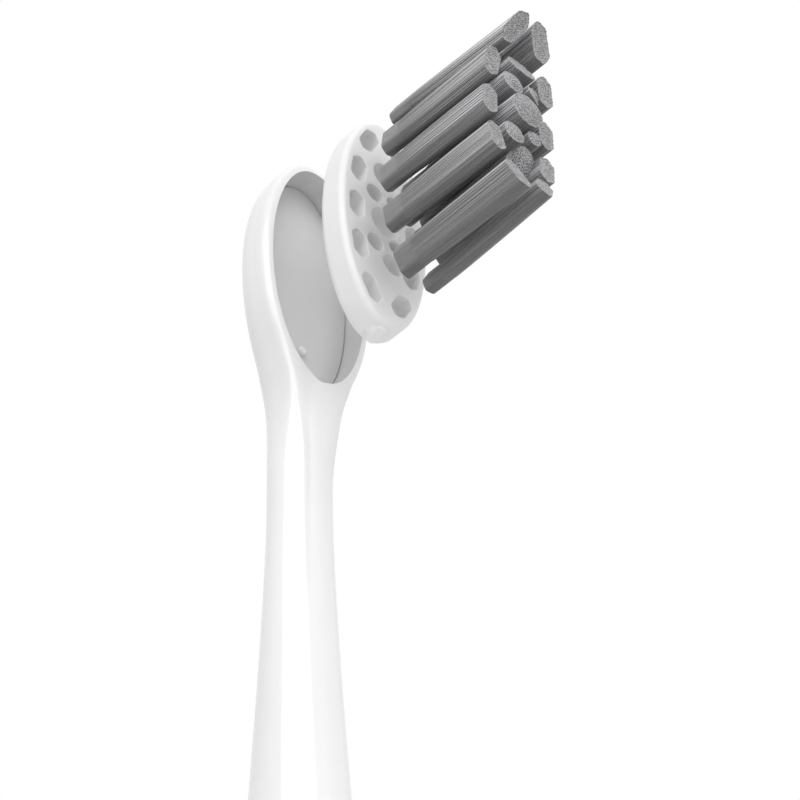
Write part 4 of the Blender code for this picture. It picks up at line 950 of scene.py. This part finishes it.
def filament_grey():
    """Bristle sides: fine streaks, painted shade on faces that look down, and painted light on
    faces that look up, growing towards the tips and the upper tufts.
    """
    finish = Finish("bristle_filaments", 0.38, specular=0.5)
    streaks = finish.noise(0.16 * MM, detail=1, stretch=(1, 0.02, 1))
    split = finish.nodes.new("ShaderNodeSeparateXYZ")
    finish.links.new(finish.place, split.inputs["Vector"])
    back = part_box("tuft_left_3")[1].y - ROOT_LENGTH
    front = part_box("tuft_left_1")[0].y
    # Painted light: the pale tip grey shows on faces that look up, more towards the tips.
    painted_light = finish.spread(split.outputs["Y"], 0, 1, back, front)
    painted_light = finish.product(painted_light, finish.spread(finish.facing_up(), 0, 1, *PAINTED_LIGHT_FADE))
    # Painted light by height: the lower tufts get less of the pale tip grey.
    low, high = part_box("tuft_left_5")[0].z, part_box("tuft_left_4")[1].z
    height = finish.spread(split.outputs["Z"], LOW_TUFT_PAINTED_LIGHT, 1, low, high)
    mix = finish.nodes.new("ShaderNodeMix")
    mix.data_type = "RGBA"
    finish.links.new(finish.product(painted_light, height), mix.inputs["Factor"])
    for side, greys in zip("AB", FILAMENT_GREYS_AND_PAINTED_LIGHT):
        ramp = finish.ramp(streaks, *((grey, grey, grey * 1.02) for grey in greys))
        finish.links.new(ramp, mix.inputs[side])
    # Painted shade: the bristle colour is darker on the faces that look down.
    finish.painted_shade_below(mix.outputs["Result"])
    finish.roughness(finish.noise(0.6 * MM), 0.32, 0.45)
    finish.relief(finish.noise(0.05 * MM), 0.004 * MM)
    return finish.material


def cut_end_grey():
    finish = Finish("bristle_ends", 0.6, specular=0.3)
    finish.colour(finish.noise(0.12 * MM, detail=1), (0.22, 0.22, 0.225), (0.50, 0.50, 0.51))
    finish.roughness(finish.noise(0.5 * MM), 0.52, 0.68)
    finish.relief(finish.noise(0.06 * MM), 0.004 * MM)
    return finish.material


def root_grey():
    finish = Finish("bristle_roots", 0.45, specular=0.4)
    streaks = finish.noise(0.3 * MM, stretch=(1, 0.2, 1))
    # Painted shade: the root grey is darker on the faces that look down.
    finish.painted_shade_below(finish.ramp(streaks, (0.22, 0.22, 0.225), (0.26, 0.26, 0.265)))
    finish.roughness(finish.noise(0.8 * MM), 0.4, 0.52)
    finish.relief(finish.noise(0.1 * MM), 0.004 * MM)
    return finish.material


def wound_copper():
    finish = Finish("copper_wire", 0.3, metallic=1.0)
    turns = finish.bands(0.3 * MM, "Z")
    finish.colour(turns, (0.42, 0.16, 0.06), (0.78, 0.37, 0.18))
    finish.roughness(finish.noise(0.6 * MM), 0.25, 0.4)
    finish.relief(turns, 0.05 * MM)
    return finish.material


def stacked_iron():
    finish = Finish("core_iron", 0.45, metallic=1.0)
    sheets = finish.bands(0.5 * MM, "Z")
    finish.colour(sheets, (0.14, 0.14, 0.15), (0.3, 0.3, 0.32))
    finish.roughness(finish.noise(0.8 * MM), 0.38, 0.55)
    finish.relief(sheets, 0.03 * MM)
    return finish.material


def board_green():
    finish = Finish("board_green", 0.4)
    tracks = finish.noise(1.4 * MM, detail=0, stretch=(1, 1, 0.25))
    finish.colour(tracks, (0.02, 0.17, 0.08), (0.04, 0.27, 0.13))
    finish.roughness(finish.noise(0.8 * MM), 0.34, 0.46)
    finish.relief(finish.spread(tracks, 0, 1, 0.48, 0.52), 0.03 * MM)
    return finish.material


def clear_window():
    finish = Finish("lens_clear", 0.35)
    finish.shader.inputs["Transmission Weight"].default_value = 0.6
    finish.shader.inputs["IOR"].default_value = 1.49
    finish.colour(finish.noise(1.5 * MM), (0.86, 0.88, 0.9), (0.92, 0.93, 0.94))
    finish.roughness(finish.noise(0.5 * MM), 0.3, 0.4)
    finish.relief(finish.noise(0.3 * MM), 0.002 * MM)
    return finish.material


def recess_white():
    """The satin inside of the recess, its white darkened as painted shade."""
    return moulded("recess_white", (0.68, 0.68, 0.68), 0.35, 0.003 * MM)


def slot_materials():
    """The finish of each of the record's material slots."""
    return {
        "gloss_white": moulded("gloss_white", (0.845, 0.845, 0.845), 0.12, 0.0015 * MM),
        "carrier_white": moulded("carrier_white", (0.85, 0.85, 0.85), 0.4, 0.003 * MM),
        "bristle_grey": filament_grey(),
        "ring_grey": moulded("ring_grey", (0.55, 0.56, 0.57), 0.4, 0.006 * MM),
        "frame_plastic": moulded("frame_plastic", (0.12, 0.12, 0.13), 0.5, 0.012 * MM, 0.06),
        "soft_grey": moulded("soft_grey", (0.35, 0.36, 0.37), 0.65, 0.02 * MM, 0.03),
        "seal_rubber": moulded("seal_rubber", (0.06, 0.06, 0.065), 0.75, 0.015 * MM, 0.1, 0.3),
        "steel": metal("steel", (0.62, 0.62, 0.63), 0.25, (1, 1, 6)),
        "spring_steel": metal("spring_steel", (0.5, 0.5, 0.52), 0.3, (1, 1, 8)),
        "nickel": metal("nickel", (0.7, 0.69, 0.66), 0.3, (1, 1, 1)),
        "magnet_metal": metal("magnet_metal", (0.45, 0.45, 0.47), 0.25, (1, 1, 0.3)),
        "core_iron": stacked_iron(),
        "copper_wire": wound_copper(),
        "bronze": metal("bronze", (0.55, 0.38, 0.2), 0.4, (1, 1, 3)),
        "battery_wrap": moulded("battery_wrap", (0.10, 0.25, 0.45), 0.35, 0.005 * MM, 0.04),
        "board_green": board_green(),
        "lens_clear": clear_window(),
        "led_body": moulded("led_body", (0.9, 0.88, 0.75), 0.3, 0.003 * MM),
    }


def dress_nodes(materials):
    """Every CAD node gets its slot's finish, and those left showing get smooth round faces."""
    for name, node in frame["nodes"].items():
        for held in node.material_slots:
            held.material = materials[held.material.name]
        if name.startswith(("tuft_", "bristle_carrier", "head_shell")):
            continue
        smooth = new_object(name + "_smooth", node.data.copy())
        join_corners(smooth.data)
        tidy_mesh(smooth.data)
        weigh_normals(smooth)
        dress(smooth, name)


# Studio


def area_light(name, place, aim, size, watts):
    light = bpy.data.lights.new(name, "AREA")
    light.shape = "RECTANGLE"
    light.size, light.size_y = size
    light.energy = watts
    obj = bpy.data.objects.new(name, light)
    obj.location = place
    obj.rotation_euler = (Vector(aim) - Vector(place)).to_track_quat("-Z", "Y").to_euler()
    obj.visible_camera = False
    bpy.context.scene.collection.objects.link(obj)
    return obj


def camera_axes():
    """The camera's right, up and backward directions."""
    back = Vector((-math.sin(CAMERA_TURN) * math.cos(CAMERA_RISE),
                   -math.cos(CAMERA_TURN) * math.cos(CAMERA_RISE),
                   -math.sin(CAMERA_RISE)))
    right = Vector((math.cos(CAMERA_TURN), -math.sin(CAMERA_TURN), 0))
    up = back.cross(right)
    c, s = math.cos(CAMERA_ROLL), math.sin(CAMERA_ROLL)
    return right * c + up * s, up * c - right * s, back


def studio_camera():
    right, up, back = camera_axes()
    aim = Vector(head_place(0, 0, 0)) + right * AIM_RIGHT - up * AIM_DOWN
    data = bpy.data.cameras.new("camera")
    data.sensor_width = CAMERA_SENSOR
    data.lens = CAMERA_LENS
    data.clip_start = 1 * MM
    camera = bpy.data.objects.new("camera", data)
    bpy.context.scene.collection.objects.link(camera)
    turn = Matrix((right, up, back)).transposed().to_4x4()
    camera.matrix_world = Matrix.Translation(aim + back * CAMERA_DISTANCE) @ turn
    bpy.context.scene.camera = camera


def studio_direction(azimuth, elevation):
    """A direction from the head: azimuth turns from the camera's side towards its right."""
    right = Vector((math.cos(CAMERA_TURN), -math.sin(CAMERA_TURN), 0))
    towards = Vector((-math.sin(CAMERA_TURN), -math.cos(CAMERA_TURN), 0))
    a, e = math.radians(azimuth), math.radians(elevation)
    return (towards * math.cos(a) + right * math.sin(a)) * math.cos(e) + Vector((0, 0, math.sin(e)))


def seen_rays(nodes, links):
    """One for a ray from the camera, a reflection or a clear piece, and zero for diffuse light."""
    path = nodes.new("ShaderNodeLightPath")
    seen = path.outputs["Is Camera Ray"]
    for ray in ("Is Glossy Ray", "Is Transmission Ray"):
        either = nodes.new("ShaderNodeMath")
        either.operation = "MAXIMUM"
        links.new(seen, either.inputs[0])
        links.new(path.outputs[ray], either.inputs[1])
        seen = either.outputs["Value"]
    return seen


def studio_world():
    """Soft white light all round, and plain white to the eye and in reflections."""
    world = bpy.data.worlds.new("studio")
    bpy.context.scene.world = world
    world.use_nodes = True
    nodes = world.node_tree.nodes
    links = world.node_tree.links
    soft = nodes["Background"]
    soft.inputs["Color"].default_value = (1, 1, 1, 1)
    soft.inputs["Strength"].default_value = WORLD_LIGHT
    white = nodes.new("ShaderNodeBackground")
    white.inputs["Color"].default_value = (1, 1, 1, 1)
    white.inputs["Strength"].default_value = 1.0
    mix = nodes.new("ShaderNodeMixShader")
    links.new(seen_rays(nodes, links), mix.inputs["Fac"])
    links.new(soft.outputs["Background"], mix.inputs[1])
    links.new(white.outputs["Background"], mix.inputs[2])
    links.new(mix.outputs["Shader"], nodes["World Output"].inputs["Surface"])


def floor_white():
    """Matt white that keeps the shadow, and fades to the plain white of the world far away."""
    finish = Finish("floor_white", 0.8, specular=0.1)
    finish.colour(finish.noise(60 * MM), (0.86, 0.86, 0.86), (0.88, 0.88, 0.88))
    nodes, links = finish.nodes, finish.links
    glow = nodes.new("ShaderNodeEmission")
    glow.inputs["Strength"].default_value = 1.0
    mix = nodes.new("ShaderNodeMixShader")
    share = nodes.new("ShaderNodeMath")
    share.operation = "MULTIPLY"
    distance = nodes.new("ShaderNodeVectorMath")
    distance.operation = "LENGTH"
    links.new(finish.place, distance.inputs[0])
    glow_share = finish.spread(distance.outputs["Value"], *FLOOR_GLOW_SHARES, *FLOOR_FADE)
    links.new(glow_share, share.inputs[1])
    links.new(seen_rays(nodes, links), share.inputs[0])
    links.new(share.outputs["Value"], mix.inputs["Fac"])
    links.new(finish.shader.outputs["BSDF"], mix.inputs[1])
    links.new(glow.outputs["Emission"], mix.inputs[2])
    links.new(mix.outputs["Shader"], nodes["Material Output"].inputs["Surface"])
    return finish.material


def studio_floor():
    half = FLOOR_HALF_WIDTH
    net = Net()
    net.cap(net.ring([(-half, -half, 0), (half, -half, 0), (half, half, 0), (-half, half, 0)]))
    new_object("floor", net.mesh("floor"), floor_white())


def studio_lights():
    head = Vector(head_place(0, 0, 0))
    for name, (turn, rise, width, height, watts) in LIGHTS.items():
        place = head + studio_direction(turn, rise) * LIGHT_DISTANCE
        area_light(name, place, head, (width, height), watts)


def set_view():
    bpy.context.scene.view_settings.view_transform = "Standard"


def build():
    materials = slot_materials()
    dress_nodes(materials)
    studio_camera()
    studio_world()
    studio_floor()
    studio_lights()
    set_view()
    plans = [TuftPlan(node) for node in sorted(frame["nodes"]) if node.startswith("tuft_")]
    # The recess's faces get a darker white: painted shade.
    fine_head((materials["gloss_white"], recess_white()))
    fine_carrier(plans, materials["carrier_white"])
    root = root_grey()
    cut_end = cut_end_grey()
    for plan in plans:
        fine_tuft(plan, materials["bristle_grey"], root, cut_end)


build()
